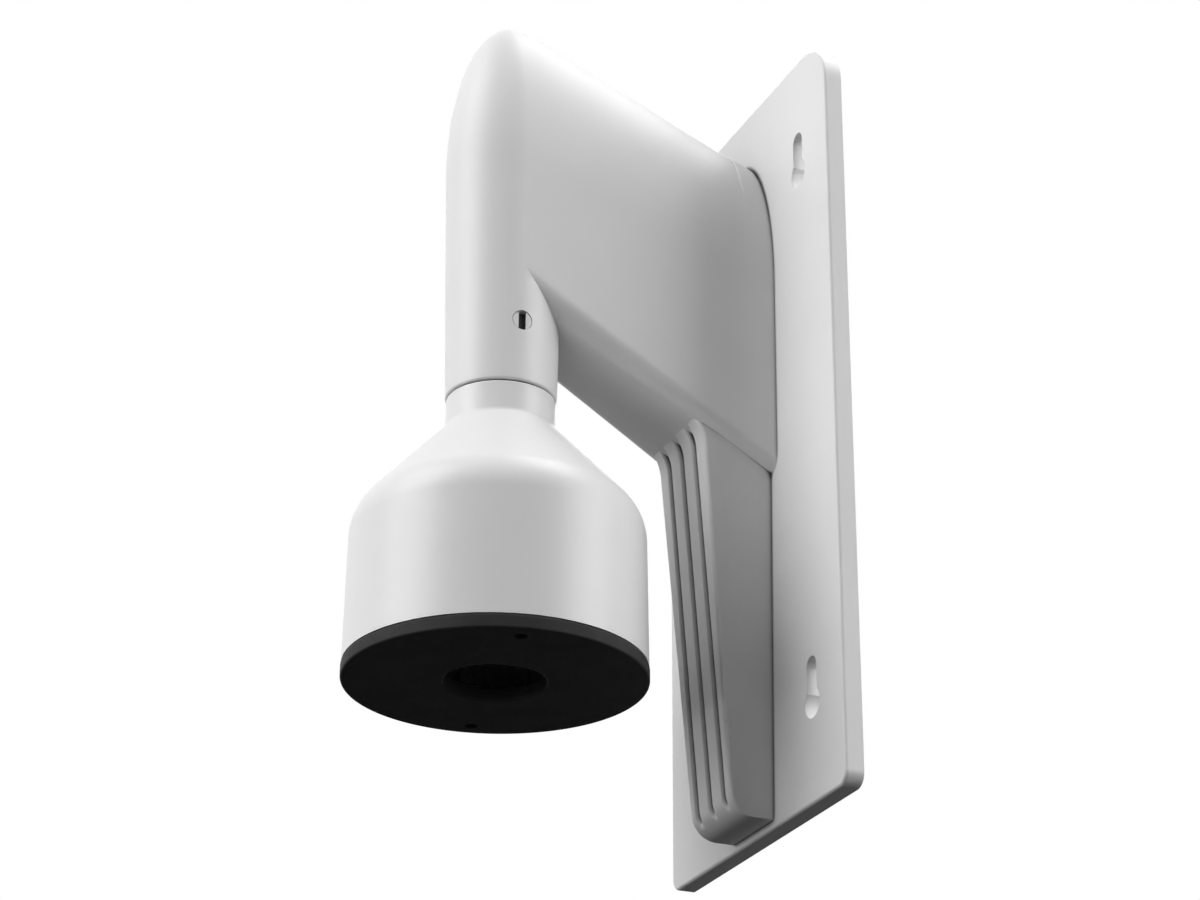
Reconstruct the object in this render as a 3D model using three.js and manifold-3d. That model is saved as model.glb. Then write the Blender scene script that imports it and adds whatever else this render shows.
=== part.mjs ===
// Wall bracket with a bell-shaped pendant cap for a dome security camera.
// Millimetres, +Z up. The wall is the plane y = 0 and the bracket stands out towards -Y.
// The origin is the middle of the wall plate's back.

import * as THREE from 'three';
import * as BufferGeometryUtils from 'three/addons/utils/BufferGeometryUtils.js';
import Module from 'manifold-3d';

// ---- Driving dimensions ----

// Wall plate
const plateWidth = 140;
const plateHeight = 288;
const plateThickness = 7;
const plateTopCorner = 18;
const plateBottomCorner = 5;
const plateLeastCorner = 1;
const plateEdgeRound = 1.2;
const plateRim = 6;
const recessDepth = 3;

// Keyhole slots for the wall screws, set in from the plate's edges
const slotInsetX = 23;
const slotInsetZ = 41;
const slotHeight = 22;
const keyHeadRadius = 5.4;
const keyNeckRadius = 3.5;
const slotBossWall = 4;

// Arm
const reach = 104;
const armHalfWidthAtWall = 27;
const noseRadius = 22;
const ridgeAtWall = 120.5;
const noseTop = 161;
const ridgeBlend = 12;
const springAtWall = 65;
const springAtNose = 100;
const undersideAtWall = -15;
const undersideAtNose = 41;
const undersideFilletAtWall = 6.5;
const undersideFilletAtNose = 14;
const noseLowerFillet = 1;
const sideTaperAtWall = 0.045;
const sideTaperAtNose = 0.022;
const armWall = 4;
const armCollarWidth = 10;
const armCollarStep = 1;
const armCollarRound = 1.5;

// Neck under the nose
const neckEnd = 7;
const neckChamfer = 0.8;
const neckStep = 0.06;

// Leg with three grooves down its front
const legDepthTop = 34;
const legDepthBottom = 23;
const legHalfWidthTop = 22;
const legHalfWidthBottom = 17;
const legBottomMargin = 3;
const legBottomRound = 11;
const legTopBlend = 16;
const legTopRun = 30;
const legTopSink = 6;
const legTopPinch = 2;
const legCorner = 2.5;
const legCornerAtTop = 4;
const legWall = 3.5;
const grooveSpacing = 10.5;
const grooveWidth = 2.8;
const grooveFloor = 1.5;
const grooveDepth = 3;
const grooveRunOutDepth = 0.05;
const grooveRunOutLow = 2;
const grooveRunOutHigh = 9;
const grooveLand = 0.4;

// Threaded nipple, a 3/4 inch pipe thread with fourteen threads to the inch
const nippleRadius = 13.2;
const nippleBore = 10;
const nippleEngagement = 11.2;
const nippleInNeck = 36;
const nippleChamfer = 1;
const threadClearance = 0.3;

// Set screw in the side of the neck
const setScrewHeight = 22.8;
const setScrewRadius = 3.7;
const setScrewSink = 0.3;
const setScrewSlot = 2.2;
const setScrewSlotDepth = 2.6;
const setScrewPoint = 0.8;
const setScrewEdge = 0.4;
const setScrewClearance = 0.3;

// Seal ring in the seam between neck and cap
const seamGap = 1;
const sealRingMargin = 1.2;
const sealRingWidth = 3.8;
const sealRingEdge = 0.5;
const sealGrooveDepth = 1.2;
const sealSeat = 0.3;

// Pendant cap
const capHeight = 100.7;
const capRadius = 52.8;
const capDraft = 0.8;
const capWall = 3;
const capWallHeight = 54;
const capShoulder = 20;
const collarStep = 0.4;
const collarHeight = 11.5;
const collarFillet = 3;
const collarEdge = 0.8;
const capRibCount = 8;
const capRibThickness = 2.4;
const capRibDepth = 6;
const capRibStart = 10;
const capRibLead = 6;

// Camera gasket and the two camera screw points
const gasketOverhang = 0.2;
const gasketThickness = 5;
const gasketHole = 17.8;
const gasketEdge = 0.8;
const gasketSeat = 0.3;
const cameraScrewInset = 7.4;
const cameraScrewAngle = -10;
const cameraScrewHole = 2.4;
const bossRadius = 5.2;
const bossHeight = 16;
const insertRadius = 3.1;
const insertBore = 1.8;
const insertLength = 8;
const insertSink = 0.5;
const insertClearance = 0.3;
const insertHoleSpare = 1;

// Wall gasket lying in the recess behind the plate
const wallGasketWidth = 5;
const wallGasketClearance = 0.3;

// Safety wire screw on a post inside the leg
const postRadius = 4.5;
const postHeight = -40;
const postLength = 14;
const wireScrewRadius = 1.9;
const wireScrewHeadRadius = 3.8;
const wireScrewHeadHeight = 2.6;
const wireScrewLength = 8;
const wireScrewCrossWidth = 1;
const wireScrewCrossDepth = 1.5;
const wireScrewClearance = 0.3;
const washerRadius = 4.4;
const washerThickness = 0.9;
const washerSeat = 0.3;

// Smoothness
const noseSteps = 12;
const archSteps = 8;
const armStations = 9;
const cavityStations = 7;
const filletSteps = 5;
const collarSteps = 3;
const legCornerSteps = 4;
const outlineSegments = 8;
const roundSegments = 48;
const boreSegments = 24;
const smallSegments = 20;

// Cuts run this far past the faces that they open, and joined bodies this far into each other.
const overrun = 1;

// ---- Places worked out from the driving dimensions ----

const plateTop = plateHeight / 2;
const plateBottom = -plateHeight / 2;
const capTop = neckEnd - seamGap;
const capBottom = capTop - capHeight;
const gasketTop = capBottom - gasketSeat;
const gasketBottom = gasketTop - gasketThickness;
const gasketRadius = capRadius + gasketOverhang;
const cameraScrewCircle = capRadius - cameraScrewInset;
const legBottom = plateBottom + legBottomMargin;
const neckBore = nippleRadius + threadClearance;
const sealRingInner = nippleRadius + sealRingMargin;
const sealRingOuter = sealRingInner + sealRingWidth;
const wallGasketThickness = recessDepth - wallGasketClearance;
const setScrewAxis = neckEnd + setScrewHeight;

// ---- Solids ----

const wasm = await Module();
wasm.setup();

const mergeTolerance = 1e-4;
const flatTolerance = 1e-6;

function solidOf(geometry) {
  const bare = geometry.clone();
  bare.deleteAttribute('normal');
  bare.deleteAttribute('uv');
  const merged = BufferGeometryUtils.mergeVertices(bare, mergeTolerance);
  const corners = merged.index.array;
  const kept = [];
  for (let i = 0; i < corners.length; i += 3) {
    const [a, b, c] = [corners[i], corners[i + 1], corners[i + 2]];
    if (a !== b && b !== c && c !== a) {
      kept.push(a, b, c);
    }
  }
  return new wasm.Manifold(new wasm.Mesh({
    numProp: 3,
    vertProperties: new Float32Array(merged.attributes.position.array),
    triVerts: new Uint32Array(kept),
  }));
}

function geometryOf(solid) {
  const mesh = solid.getMesh();
  const geometry = new THREE.BufferGeometry();
  geometry.setAttribute('position', new THREE.BufferAttribute(mesh.vertProperties, 3));
  geometry.setIndex(new THREE.BufferAttribute(mesh.triVerts, 1));
  const faceted = geometry.toNonIndexed();
  faceted.computeVertexNormals();
  return faceted;
}

// Skins a row of closed sections that have the same number of points.
// A section folded flat closes the row by itself, so its end takes no cap.
function loft(sections, foldedEnd = false) {
  const count = sections[0].length;
  const positions = sections.flat().flatMap((p) => [p.x, p.y, p.z]);
  const index = [];
  for (let row = 0; row + 1 < sections.length; row += 1) {
    for (let k = 0; k < count; k += 1) {
      const a = row * count + k;
      const b = row * count + ((k + 1) % count);
      index.push(a, b, b + count);
      index.push(a, b + count, a + count);
    }
  }
  capEnd(sections[0], 0, true, index);
  if (!foldedEnd) {
    capEnd(sections.at(-1), (sections.length - 1) * count, false, index);
  }
  const geometry = new THREE.BufferGeometry();
  geometry.setAttribute('position', new THREE.Float32BufferAttribute(positions, 3));
  geometry.setIndex(index);
  const solid = solidOf(geometry);
  if (solid.volume() > 0) {
    return solid;
  }
  geometry.setIndex(index.slice().reverse());
  return solidOf(geometry);
}

// Fills a flat section, whose plane is across Y or across Z.
function capEnd(section, first, start, index) {
  const level = section.every((p) => Math.abs(p.z - section[0].z) < flatTolerance);
  const flat = section.map((p) => new THREE.Vector2(p.x, level ? p.y : p.z));
  const turned = THREE.ShapeUtils.area(flat) < 0;
  const along = turned ? flat.slice().reverse() : flat;
  for (const triangle of THREE.ShapeUtils.triangulateShape(along, [])) {
    const places = triangle.map((i) => (turned ? section.length - 1 - i : i) + first);
    if (turned !== start) {
      places.reverse();
    }
    index.push(...places);
  }
}

// A round solid about a vertical axis, from a profile of radius and height that ends on the axis
// or closes on itself.
function revolve(profile, segments, x = 0, y = 0, turn = 0) {
  const geometry = new THREE.LatheGeometry(profile, segments, turn);
  geometry.rotateX(Math.PI / 2);
  geometry.translate(x, y, 0);
  return outward(geometry);
}

function outward(geometry) {
  const solid = solidOf(geometry);
  if (solid.volume() > 0) {
    return solid;
  }
  const flipped = geometry.clone();
  flipped.setIndex(Array.from(geometry.index.array).reverse());
  return solidOf(flipped);
}

// An outline of x and z, pushed out from the wall by a depth, starting at a distance from the wall.
function extrudeFromWall(shape, depth, start, options = {}) {
  const plain = { depth, bevelEnabled: false, curveSegments: outlineSegments };
  const geometry = new THREE.ExtrudeGeometry(shape, { ...plain, ...options });
  geometry.rotateX(Math.PI / 2);
  geometry.translate(0, -start, 0);
  return solidOf(geometry);
}

function cylinder(radius, length, segments = smallSegments) {
  return new THREE.CylinderGeometry(radius, radius, length, segments);
}

// A cylinder along Y, from one distance off the wall to another.
function cylinderFromWall(radius, near, far, x, z, segments = smallSegments) {
  const geometry = cylinder(radius, far - near, segments);
  geometry.translate(x, -(near + far) / 2, z);
  return solidOf(geometry);
}

// A cylinder along Z, between two heights.
function upright(radius, low, high, x, y, segments = smallSegments) {
  const geometry = cylinder(radius, high - low, segments);
  geometry.rotateX(Math.PI / 2);
  geometry.translate(x, y, (low + high) / 2);
  return solidOf(geometry);
}

// ---- Outlines ----

// Rounds the corners of an open row of points, each with its own radius.
function roundedProfile(corners, steps = 6) {
  const points = [];
  corners.forEach((corner, i) => {
    const here = new THREE.Vector2(corner.x, corner.y);
    if (!corner.radius || i === 0 || i === corners.length - 1) {
      points.push(here);
      return;
    }
    const back = new THREE.Vector2(corners[i - 1].x, corners[i - 1].y).sub(here);
    const ahead = new THREE.Vector2(corners[i + 1].x, corners[i + 1].y).sub(here);
    const half = Math.abs(back.angleTo(ahead)) / 2;
    const run = Math.min(corner.radius / Math.tan(half), back.length() / 2, ahead.length() / 2);
    const radius = run * Math.tan(half);
    const towards = back.clone().normalize().add(ahead.clone().normalize()).normalize();
    const centre = here.clone().addScaledVector(towards, radius / Math.sin(half));
    const from = here.clone().addScaledVector(back.clone().normalize(), run).sub(centre);
    const to = here.clone().addScaledVector(ahead.clone().normalize(), run).sub(centre);
    let sweep = to.angle() - from.angle();
    if (sweep > Math.PI) {
      sweep -= 2 * Math.PI;
    }
    if (sweep < -Math.PI) {
      sweep += 2 * Math.PI;
    }
    for (let k = 0; k <= steps; k += 1) {
      points.push(from.clone().rotateAround(new THREE.Vector2(), sweep * k / steps).add(centre));
    }
  });
  return points;
}

// The wall plate's outline, drawn in by an inset.
function plateOutline(inset) {
  const half = plateWidth / 2 - inset;
  const low = plateBottom + inset;
  const high = plateTop - inset;
  const topCorner = Math.max(plateLeastCorner, plateTopCorner - inset);
  const bottomCorner = Math.max(plateLeastCorner, plateBottomCorner - inset);
  const shape = new THREE.Shape();
  shape.moveTo(-half + bottomCorner, low);
  shape.lineTo(half - bottomCorner, low);
  shape.absarc(half - bottomCorner, low + bottomCorner, bottomCorner, -Math.PI / 2, 0);
  shape.absarc(half - topCorner, high - topCorner, topCorner, 0, Math.PI / 2);
  shape.absarc(-half + topCorner, high - topCorner, topCorner, Math.PI / 2, Math.PI);
  shape.absarc(-half + bottomCorner, low + bottomCorner, bottomCorner, Math.PI, 1.5 * Math.PI);
  return shape;
}

// A keyhole standing upright: the wide head below and the narrow neck above.
function keyholeOutline(x, z) {
  const headZ = z - slotHeight / 2 + keyHeadRadius;
  const neckZ = z + slotHeight / 2 - keyNeckRadius;
  const meet = Math.asin(keyNeckRadius / keyHeadRadius);
  const shape = new THREE.Shape();
  shape.absarc(x, headZ, keyHeadRadius, Math.PI / 2 + meet, Math.PI / 2 - meet + 2 * Math.PI);
  shape.absarc(x, neckZ, keyNeckRadius, 0, Math.PI);
  return shape;
}

// The boss that carries a keyhole through the hollowed back, as wide as the head and its wall.
function slotBossOutline(x, z) {
  const radius = keyHeadRadius + slotBossWall;
  const shape = new THREE.Shape();
  shape.absarc(x, z - slotHeight / 2 + keyHeadRadius, radius, Math.PI, 2 * Math.PI);
  shape.absarc(x, z + slotHeight / 2 - keyNeckRadius, radius, 0, Math.PI);
  return shape;
}

const slotPlaces = [-1, 1].flatMap((side) => [-1, 1].map((level) => ({
  x: side * (plateWidth / 2 - slotInsetX),
  z: level * (plateHeight / 2 - slotInsetZ),
})));

// ---- Arm ----

// A straight change from the wall to the cap's axis.
function alongArm(atWall, atNose, distance) {
  const share = (distance - plateThickness) / (reach - plateThickness);
  return atWall + (atNose - atWall) * share;
}

// The ridge is straight from the wall and levels out over the nose.
function ridgeAt(distance) {
  const slope = (noseTop - ridgeAtWall) / (reach - plateThickness - ridgeBlend / 2);
  if (distance <= reach - ridgeBlend) {
    return ridgeAtWall + slope * (distance - plateThickness);
  }
  return noseTop - slope * (reach - distance) ** 2 / (2 * ridgeBlend);
}

// The arm widens towards the wall and runs into the nose without a kink.
function halfWidthAt(distance) {
  const share = (reach - distance) / (reach - plateThickness);
  return noseRadius + (armHalfWidthAtWall - noseRadius) * share ** 2;
}

function undersideAt(distance) {
  return alongArm(undersideAtWall, undersideAtNose, distance);
}

function undersideFilletAt(distance) {
  return alongArm(undersideFilletAtWall, undersideFilletAtNose, distance);
}

function sideAt(distance, z) {
  const spring = alongArm(springAtWall, springAtNose, distance);
  const taper = alongArm(sideTaperAtWall, sideTaperAtNose, distance);
  return halfWidthAt(distance) - taper * Math.max(0, spring - z);
}

const neckRadius = sideAt(reach, neckEnd) + neckStep;

// Half of the arm's section: underside, fillet, leaning side and elliptical arch, whose ridge may rise.
function armProfile(distance, grow, fillet, rise) {
  const spring = alongArm(springAtWall, springAtNose, distance);
  const ridge = ridgeAt(distance) + grow + rise;
  const under = undersideAt(distance) - grow;
  const start = under + fillet;
  const width = sideAt(distance, start) + grow;
  const points = [new THREE.Vector2(0, under)];
  points.push(new THREE.Vector2((width - fillet) / 2, under));
  for (let k = 0; k <= filletSteps; k += 1) {
    const turn = (k / filletSteps) * Math.PI / 2;
    const x = width - fillet + fillet * Math.sin(turn);
    points.push(new THREE.Vector2(x, start - fillet * Math.cos(turn)));
  }
  const tangent = under + undersideFilletAt(distance);
  for (const z of [tangent, (tangent + spring) / 2]) {
    points.push(new THREE.Vector2(sideAt(distance, z) + grow, z));
  }
  for (let k = 0; k < archSteps; k += 1) {
    const turn = (k / archSteps) * Math.PI / 2;
    const x = (halfWidthAt(distance) + grow) * Math.cos(turn);
    points.push(new THREE.Vector2(x, spring + (ridge - spring) * Math.sin(turn)));
  }
  points.push(new THREE.Vector2(0, ridge));
  return points;
}

// A closed section across the arm. Past the cap's axis both halves swing round to the tip of the nose.
function armSection(distance, swing, grow, fillet, rise = 0) {
  const profile = armProfile(distance, grow, fillet, rise);
  const place = (p, side) => new THREE.Vector3(
    side * p.x * Math.cos(swing),
    -distance - p.x * Math.sin(swing),
    p.y,
  );
  const right = profile.map((p) => place(p, 1));
  const left = profile.slice(1, -1).reverse().map((p) => place(p, -1));
  return [...right, ...left];
}

// The arm with a collar over its foot at the plate, and the nose, whose lower edge is nearly square
// where the neck joins it. The collar is proudest at the ridge and runs out down the arch.
function armBody(grow, start, collar, stations, noseTurns) {
  const section = (distance, rise) => (
    armSection(distance, 0, grow, undersideFilletAt(distance), rise)
  );
  const sections = [section(start, collar)];
  const collarEnd = plateThickness + armCollarWidth;
  for (let k = 0; collar > 0 && k <= collarSteps; k += 1) {
    const turn = (k / collarSteps) * Math.PI / 2;
    const distance = collarEnd - armCollarRound * (1 - Math.sin(turn));
    sections.push(section(distance, collar * Math.cos(turn)));
  }
  for (let k = 1; k <= stations; k += 1) {
    sections.push(section(collarEnd + (reach - collarEnd) * k / stations, 0));
  }
  for (let k = 0; k <= noseTurns; k += 1) {
    sections.push(armSection(reach, (k / noseTurns) * Math.PI / 2, grow, noseLowerFillet));
  }
  return loft(sections, true);
}

// The neck carries the nose's own taper on down to the seam. It stands proud of the nose by a hair,
// then slips a hair inside the nose's skin, up to where it fills the arm's lower fillet.
function neckBody() {
  const slip = undersideAt(reach) + noseLowerFillet + overrun;
  const top = undersideAt(reach) + undersideFilletAtNose;
  const profile = [
    new THREE.Vector2(0, neckEnd),
    new THREE.Vector2(neckRadius - neckChamfer, neckEnd),
    new THREE.Vector2(neckRadius, neckEnd + neckChamfer),
    new THREE.Vector2(sideAt(reach, slip) + neckStep, slip),
    new THREE.Vector2(sideAt(reach, slip + overrun) - neckStep, slip + overrun),
    new THREE.Vector2(sideAt(reach, top) - neckStep, top),
    new THREE.Vector2(0, top + noseRadius / 2),
  ];
  const halfFacet = Math.PI / (4 * noseSteps);
  return revolve(profile, 4 * noseSteps, 0, -reach, halfFacet);
}

// ---- Leg ----

// The leg's front seen from the side, as distance from the wall and height: round at the foot,
// leaning forward, and blended into the arm's underside.
function legFront() {
  const kneeHeight = undersideAt(legDepthTop);
  const blendDistance = legDepthTop + legTopRun;
  return roundedProfile([
    { x: plateThickness, y: legBottom },
    { x: legDepthBottom, y: legBottom, radius: legBottomRound },
    { x: legDepthTop, y: kneeHeight, radius: legTopBlend },
    { x: blendDistance, y: undersideAt(blendDistance) + legTopSink },
  ], 7);
}

function smoothShare(low, high, value) {
  return THREE.MathUtils.smoothstep(value, low, high);
}

// A level section of the leg with its front corners rounded and its grooves cut in.
function legSection(depth, z, inset, grooved) {
  const knee = undersideAt(legDepthTop);
  const share = (z - legBottom) / (knee - legBottom);
  const straight = THREE.MathUtils.lerp(legHalfWidthBottom, legHalfWidthTop, share);
  const merge = smoothShare(knee - legTopBlend / 2, knee + legTopBlend / 2, z);
  const half = straight - inset - merge * legTopPinch;
  const front = depth - (grooved ? 0 : inset + grooveDepth);
  const back = grooved ? recessDepth : -overrun;
  const flatEdge = grooved ? grooveSpacing + grooveWidth / 2 + grooveLand : overrun;
  const wanted = THREE.MathUtils.lerp(legCorner, legCornerAtTop, merge);
  const corner = Math.min(wanted, (front - back) / 2, half - flatEdge);
  const fade = smoothShare(legBottom + grooveRunOutLow, legBottom + grooveRunOutHigh, z);
  const cut = Math.max(grooveRunOutDepth, Math.min(grooveDepth * fade, (front - back) / 3));
  const right = [new THREE.Vector2(half, back)];
  for (let k = 0; k <= legCornerSteps; k += 1) {
    const turn = (k / legCornerSteps) * Math.PI / 2;
    const x = half - corner + corner * Math.cos(turn);
    right.push(new THREE.Vector2(x, front - corner + corner * Math.sin(turn)));
  }
  if (grooved) {
    right.push(...groove(grooveSpacing, front, cut));
  }
  const left = right.slice().reverse().map((p) => new THREE.Vector2(-p.x, p.y));
  const middle = grooved ? groove(0, front, cut) : [];
  return [...right, ...middle, ...left].map((p) => new THREE.Vector3(p.x, -p.y, z));
}

function groove(centre, front, cut) {
  return [
    new THREE.Vector2(centre + grooveWidth / 2, front),
    new THREE.Vector2(centre + grooveFloor / 2, front - cut),
    new THREE.Vector2(centre - grooveFloor / 2, front - cut),
    new THREE.Vector2(centre - grooveWidth / 2, front),
  ];
}

// The leg from its foot up into the arm's underside. Without grooves and drawn in by the wall, it is
// the leg's hollow.
function legBody(inset, grooved) {
  const floor = legBottom + (grooved ? 0 : inset);
  const profile = legFront();
  const lowest = profile.filter((p) => p.y <= floor + flatTolerance).at(-1);
  const rising = profile.filter((p) => p.y > floor + flatTolerance);
  const sections = [lowest, ...rising].map((p, i) => (
    legSection(p.x, i === 0 ? floor : p.y, inset, grooved)
  ));
  return loft(sections);
}

// ---- Bracket casting ----

function plateBody() {
  const bevel = {
    bevelEnabled: true,
    bevelThickness: plateEdgeRound,
    bevelSize: plateEdgeRound,
    bevelOffset: -plateEdgeRound,
    bevelSegments: 3,
  };
  const behind = 2 * plateEdgeRound;
  const depth = plateThickness + behind - plateEdgeRound;
  const slab = extrudeFromWall(plateOutline(0), depth, -behind, bevel);
  const wall = new THREE.BoxGeometry(2 * plateWidth, 4 * behind, 2 * plateHeight);
  wall.translate(0, 2 * behind, 0);
  return slab.subtract(solidOf(wall));
}

// The back is hollowed inside a rim, round a boss at each keyhole.
function plateRecess() {
  let recess = extrudeFromWall(plateOutline(plateRim), recessDepth + overrun, -overrun);
  for (const place of slotPlaces) {
    const boss = slotBossOutline(place.x, place.z);
    recess = recess.subtract(extrudeFromWall(boss, recessDepth + 4 * overrun, -2 * overrun));
  }
  return recess;
}

function setScrewHole() {
  const length = noseRadius + overrun;
  const geometry = cylinder(setScrewRadius + setScrewClearance, length, smallSegments);
  geometry.rotateZ(-Math.PI / 2);
  geometry.translate(length / 2, -reach, setScrewAxis);
  return solidOf(geometry);
}

// The groove in the neck's end that the seal ring lies in.
function sealGroove() {
  const inner = sealRingInner - sealSeat;
  const outer = sealRingOuter + sealSeat;
  const profile = ringProfile(inner, outer, neckEnd - overrun, neckEnd + sealGrooveDepth, 0);
  return revolve(profile, boreSegments, 0, -reach);
}

// The wire post stands on the inside of the leg's front wall.
const legFrontAtPost = THREE.MathUtils.mapLinear(
  postHeight,
  legBottom,
  undersideAt(legDepthTop),
  legDepthBottom,
  legDepthTop,
);
const postFoot = legFrontAtPost - legWall - grooveDepth + overrun;
const postEnd = postFoot - postLength;

function bracketCasting() {
  let solid = plateBody();
  solid = solid.add(armBody(0, recessDepth + overrun, armCollarStep, armStations, noseSteps));
  solid = solid.add(neckBody());
  solid = solid.add(legBody(0, true));
  solid = solid.subtract(armBody(-armWall, -overrun, 0, cavityStations, noseSteps / 2));
  solid = solid.subtract(legBody(legWall, false));
  solid = solid.subtract(plateRecess());
  for (const place of slotPlaces) {
    const keyhole = keyholeOutline(place.x, place.z);
    solid = solid.subtract(extrudeFromWall(keyhole, plateThickness + 2 * overrun, -overrun));
  }
  const boreTop = undersideAt(reach) + armWall + overrun;
  solid = solid.subtract(upright(neckBore, neckEnd - overrun, boreTop, 0, -reach, boreSegments));
  solid = solid.subtract(setScrewHole());
  solid = solid.subtract(sealGroove());
  const post = cylinderFromWall(postRadius, postEnd, postFoot, 0, postHeight);
  const pilotRadius = wireScrewRadius + wireScrewClearance;
  const pilotEnd = postEnd + wireScrewLength;
  const pilot = cylinderFromWall(pilotRadius, postEnd - overrun, pilotEnd, 0, postHeight);
  return solid.add(post).subtract(pilot);
}

// ---- Neck pieces ----

function pipeNipple() {
  const low = capTop - nippleEngagement;
  const high = neckEnd + nippleInNeck;
  return revolve([
    new THREE.Vector2(nippleBore, low),
    new THREE.Vector2(nippleRadius - nippleChamfer, low),
    new THREE.Vector2(nippleRadius, low + nippleChamfer),
    new THREE.Vector2(nippleRadius, high - nippleChamfer),
    new THREE.Vector2(nippleRadius - nippleChamfer, high),
    new THREE.Vector2(nippleBore, high),
    new THREE.Vector2(nippleBore, low),
  ], boreSegments, 0, -reach);
}

function sealRing() {
  const low = capTop + sealSeat;
  const high = neckEnd + sealGrooveDepth - sealSeat;
  const profile = ringProfile(sealRingInner, sealRingOuter, low, high, sealRingEdge);
  return revolve(profile, roundSegments, 0, -reach);
}

// A closed ring section, with its four edges broken by a chamfer.
function ringProfile(inner, outer, low, high, edge) {
  return [
    new THREE.Vector2(inner + edge, low),
    new THREE.Vector2(outer - edge, low),
    new THREE.Vector2(outer, low + edge),
    new THREE.Vector2(outer, high - edge),
    new THREE.Vector2(outer - edge, high),
    new THREE.Vector2(inner + edge, high),
    new THREE.Vector2(inner, high - edge),
    new THREE.Vector2(inner, low + edge),
    new THREE.Vector2(inner + edge, low),
  ];
}

// A headless screw with an upright slot, whose point bears on the nipple.
function neckSetScrew() {
  const inner = nippleRadius + threadClearance;
  const outer = sideAt(reach, setScrewAxis) - setScrewSink;
  const length = outer - inner;
  const profile = [
    new THREE.Vector2(0, 0),
    new THREE.Vector2(setScrewRadius - setScrewPoint, 0),
    new THREE.Vector2(setScrewRadius, setScrewPoint),
    new THREE.Vector2(setScrewRadius, length - setScrewEdge),
    new THREE.Vector2(setScrewRadius - setScrewEdge, length),
    new THREE.Vector2(0, length),
  ];
  const barrel = revolve(profile, smallSegments);
  const slot = new THREE.BoxGeometry(2 * noseRadius, setScrewSlot, 2 * setScrewSlotDepth);
  slot.translate(0, 0, length);
  const screw = barrel.subtract(solidOf(slot));
  return screw.rotate([0, 90, 0]).translate([inner, -reach, setScrewAxis]);
}

// ---- Pendant cap ----

const shoulderEnd = capHeight - collarHeight;
const collarRadius = neckRadius - collarStep;
const capBore = nippleRadius + threadClearance;

function capShell() {
  const outer = roundedProfile([
    { x: capRadius, y: 0 },
    { x: capRadius - capDraft, y: capWallHeight, radius: capShoulder },
    { x: collarRadius, y: shoulderEnd, radius: collarFillet },
    { x: collarRadius, y: capHeight, radius: collarEdge },
    { x: capBore, y: capHeight },
  ], 5);
  const inner = roundedProfile([
    { x: capBore, y: capHeight },
    { x: capBore, y: shoulderEnd - capWall },
    { x: collarRadius - overrun, y: shoulderEnd - 2 * capWall },
    { x: capRadius - capDraft - capWall, y: capWallHeight - capWall / 2, radius: capShoulder - capWall },
    { x: capRadius - capWall, y: 0 },
    { x: capRadius, y: 0 },
  ], 3);
  return revolve([...outer, ...inner.slice(1)], roundSegments);
}

// One stiffening rib, running down the inside of the wall and up under the collar.
function capRib(angle) {
  const wall = capRadius - capDraft - capWall / 2;
  const throat = capBore + overrun;
  const shape = new THREE.Shape();
  shape.moveTo(wall, capRibStart);
  shape.lineTo(wall - capRibDepth / 2, capRibStart);
  shape.lineTo(wall - capRibDepth, capRibStart + capRibLead);
  shape.lineTo(wall - capRibDepth, capWallHeight - 2 * capRibDepth);
  shape.lineTo(collarRadius, shoulderEnd - 3 * capWall - capRibDepth);
  shape.lineTo(throat, shoulderEnd - 2 * capWall);
  shape.lineTo(throat, shoulderEnd - capWall);
  shape.lineTo(collarRadius, shoulderEnd - capWall);
  shape.lineTo(wall, capWallHeight - capWall);
  const geometry = new THREE.ExtrudeGeometry(shape, {
    depth: capRibThickness,
    bevelEnabled: false,
  });
  geometry.translate(0, 0, -capRibThickness / 2);
  geometry.rotateX(Math.PI / 2);
  geometry.rotateZ(angle);
  return solidOf(geometry);
}

const cameraScrewPlaces = [0, 180].map((turn) => {
  const angle = THREE.MathUtils.degToRad(cameraScrewAngle + turn);
  return { x: cameraScrewCircle * Math.cos(angle), y: cameraScrewCircle * Math.sin(angle) };
});

function pendantCap() {
  let solid = capShell();
  const first = THREE.MathUtils.degToRad(cameraScrewAngle + 180 / capRibCount);
  for (let k = 0; k < capRibCount; k += 1) {
    solid = solid.add(capRib(first + k * 2 * Math.PI / capRibCount));
  }
  for (const place of cameraScrewPlaces) {
    solid = solid.add(upright(bossRadius, 0, bossHeight, place.x, place.y));
  }
  const holeRadius = insertRadius + insertClearance;
  const holeEnd = insertSink + insertLength + insertHoleSpare;
  for (const place of cameraScrewPlaces) {
    solid = solid.subtract(upright(holeRadius, -overrun, holeEnd, place.x, place.y));
  }
  return solid.translate([0, -reach, capBottom]);
}

function cameraGasket() {
  const profile = [
    new THREE.Vector2(gasketHole, 0),
    new THREE.Vector2(gasketRadius - gasketEdge, 0),
    new THREE.Vector2(gasketRadius, gasketEdge),
    new THREE.Vector2(gasketRadius, gasketThickness - gasketEdge),
    new THREE.Vector2(gasketRadius - gasketEdge, gasketThickness),
    new THREE.Vector2(gasketHole, gasketThickness),
    new THREE.Vector2(gasketHole, 0),
  ];
  let solid = revolve(profile, roundSegments);
  const above = gasketThickness + overrun;
  for (const place of cameraScrewPlaces) {
    solid = solid.subtract(upright(cameraScrewHole, -overrun, above, place.x, place.y));
  }
  return solid.translate([0, -reach, gasketBottom]);
}

function capInsert(place) {
  const low = capBottom + insertSink;
  const profile = ringProfile(insertBore, insertRadius, low, low + insertLength, 0);
  return revolve(profile, smallSegments, place.x, place.y - reach);
}

// ---- Pieces behind the plate ----

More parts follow.
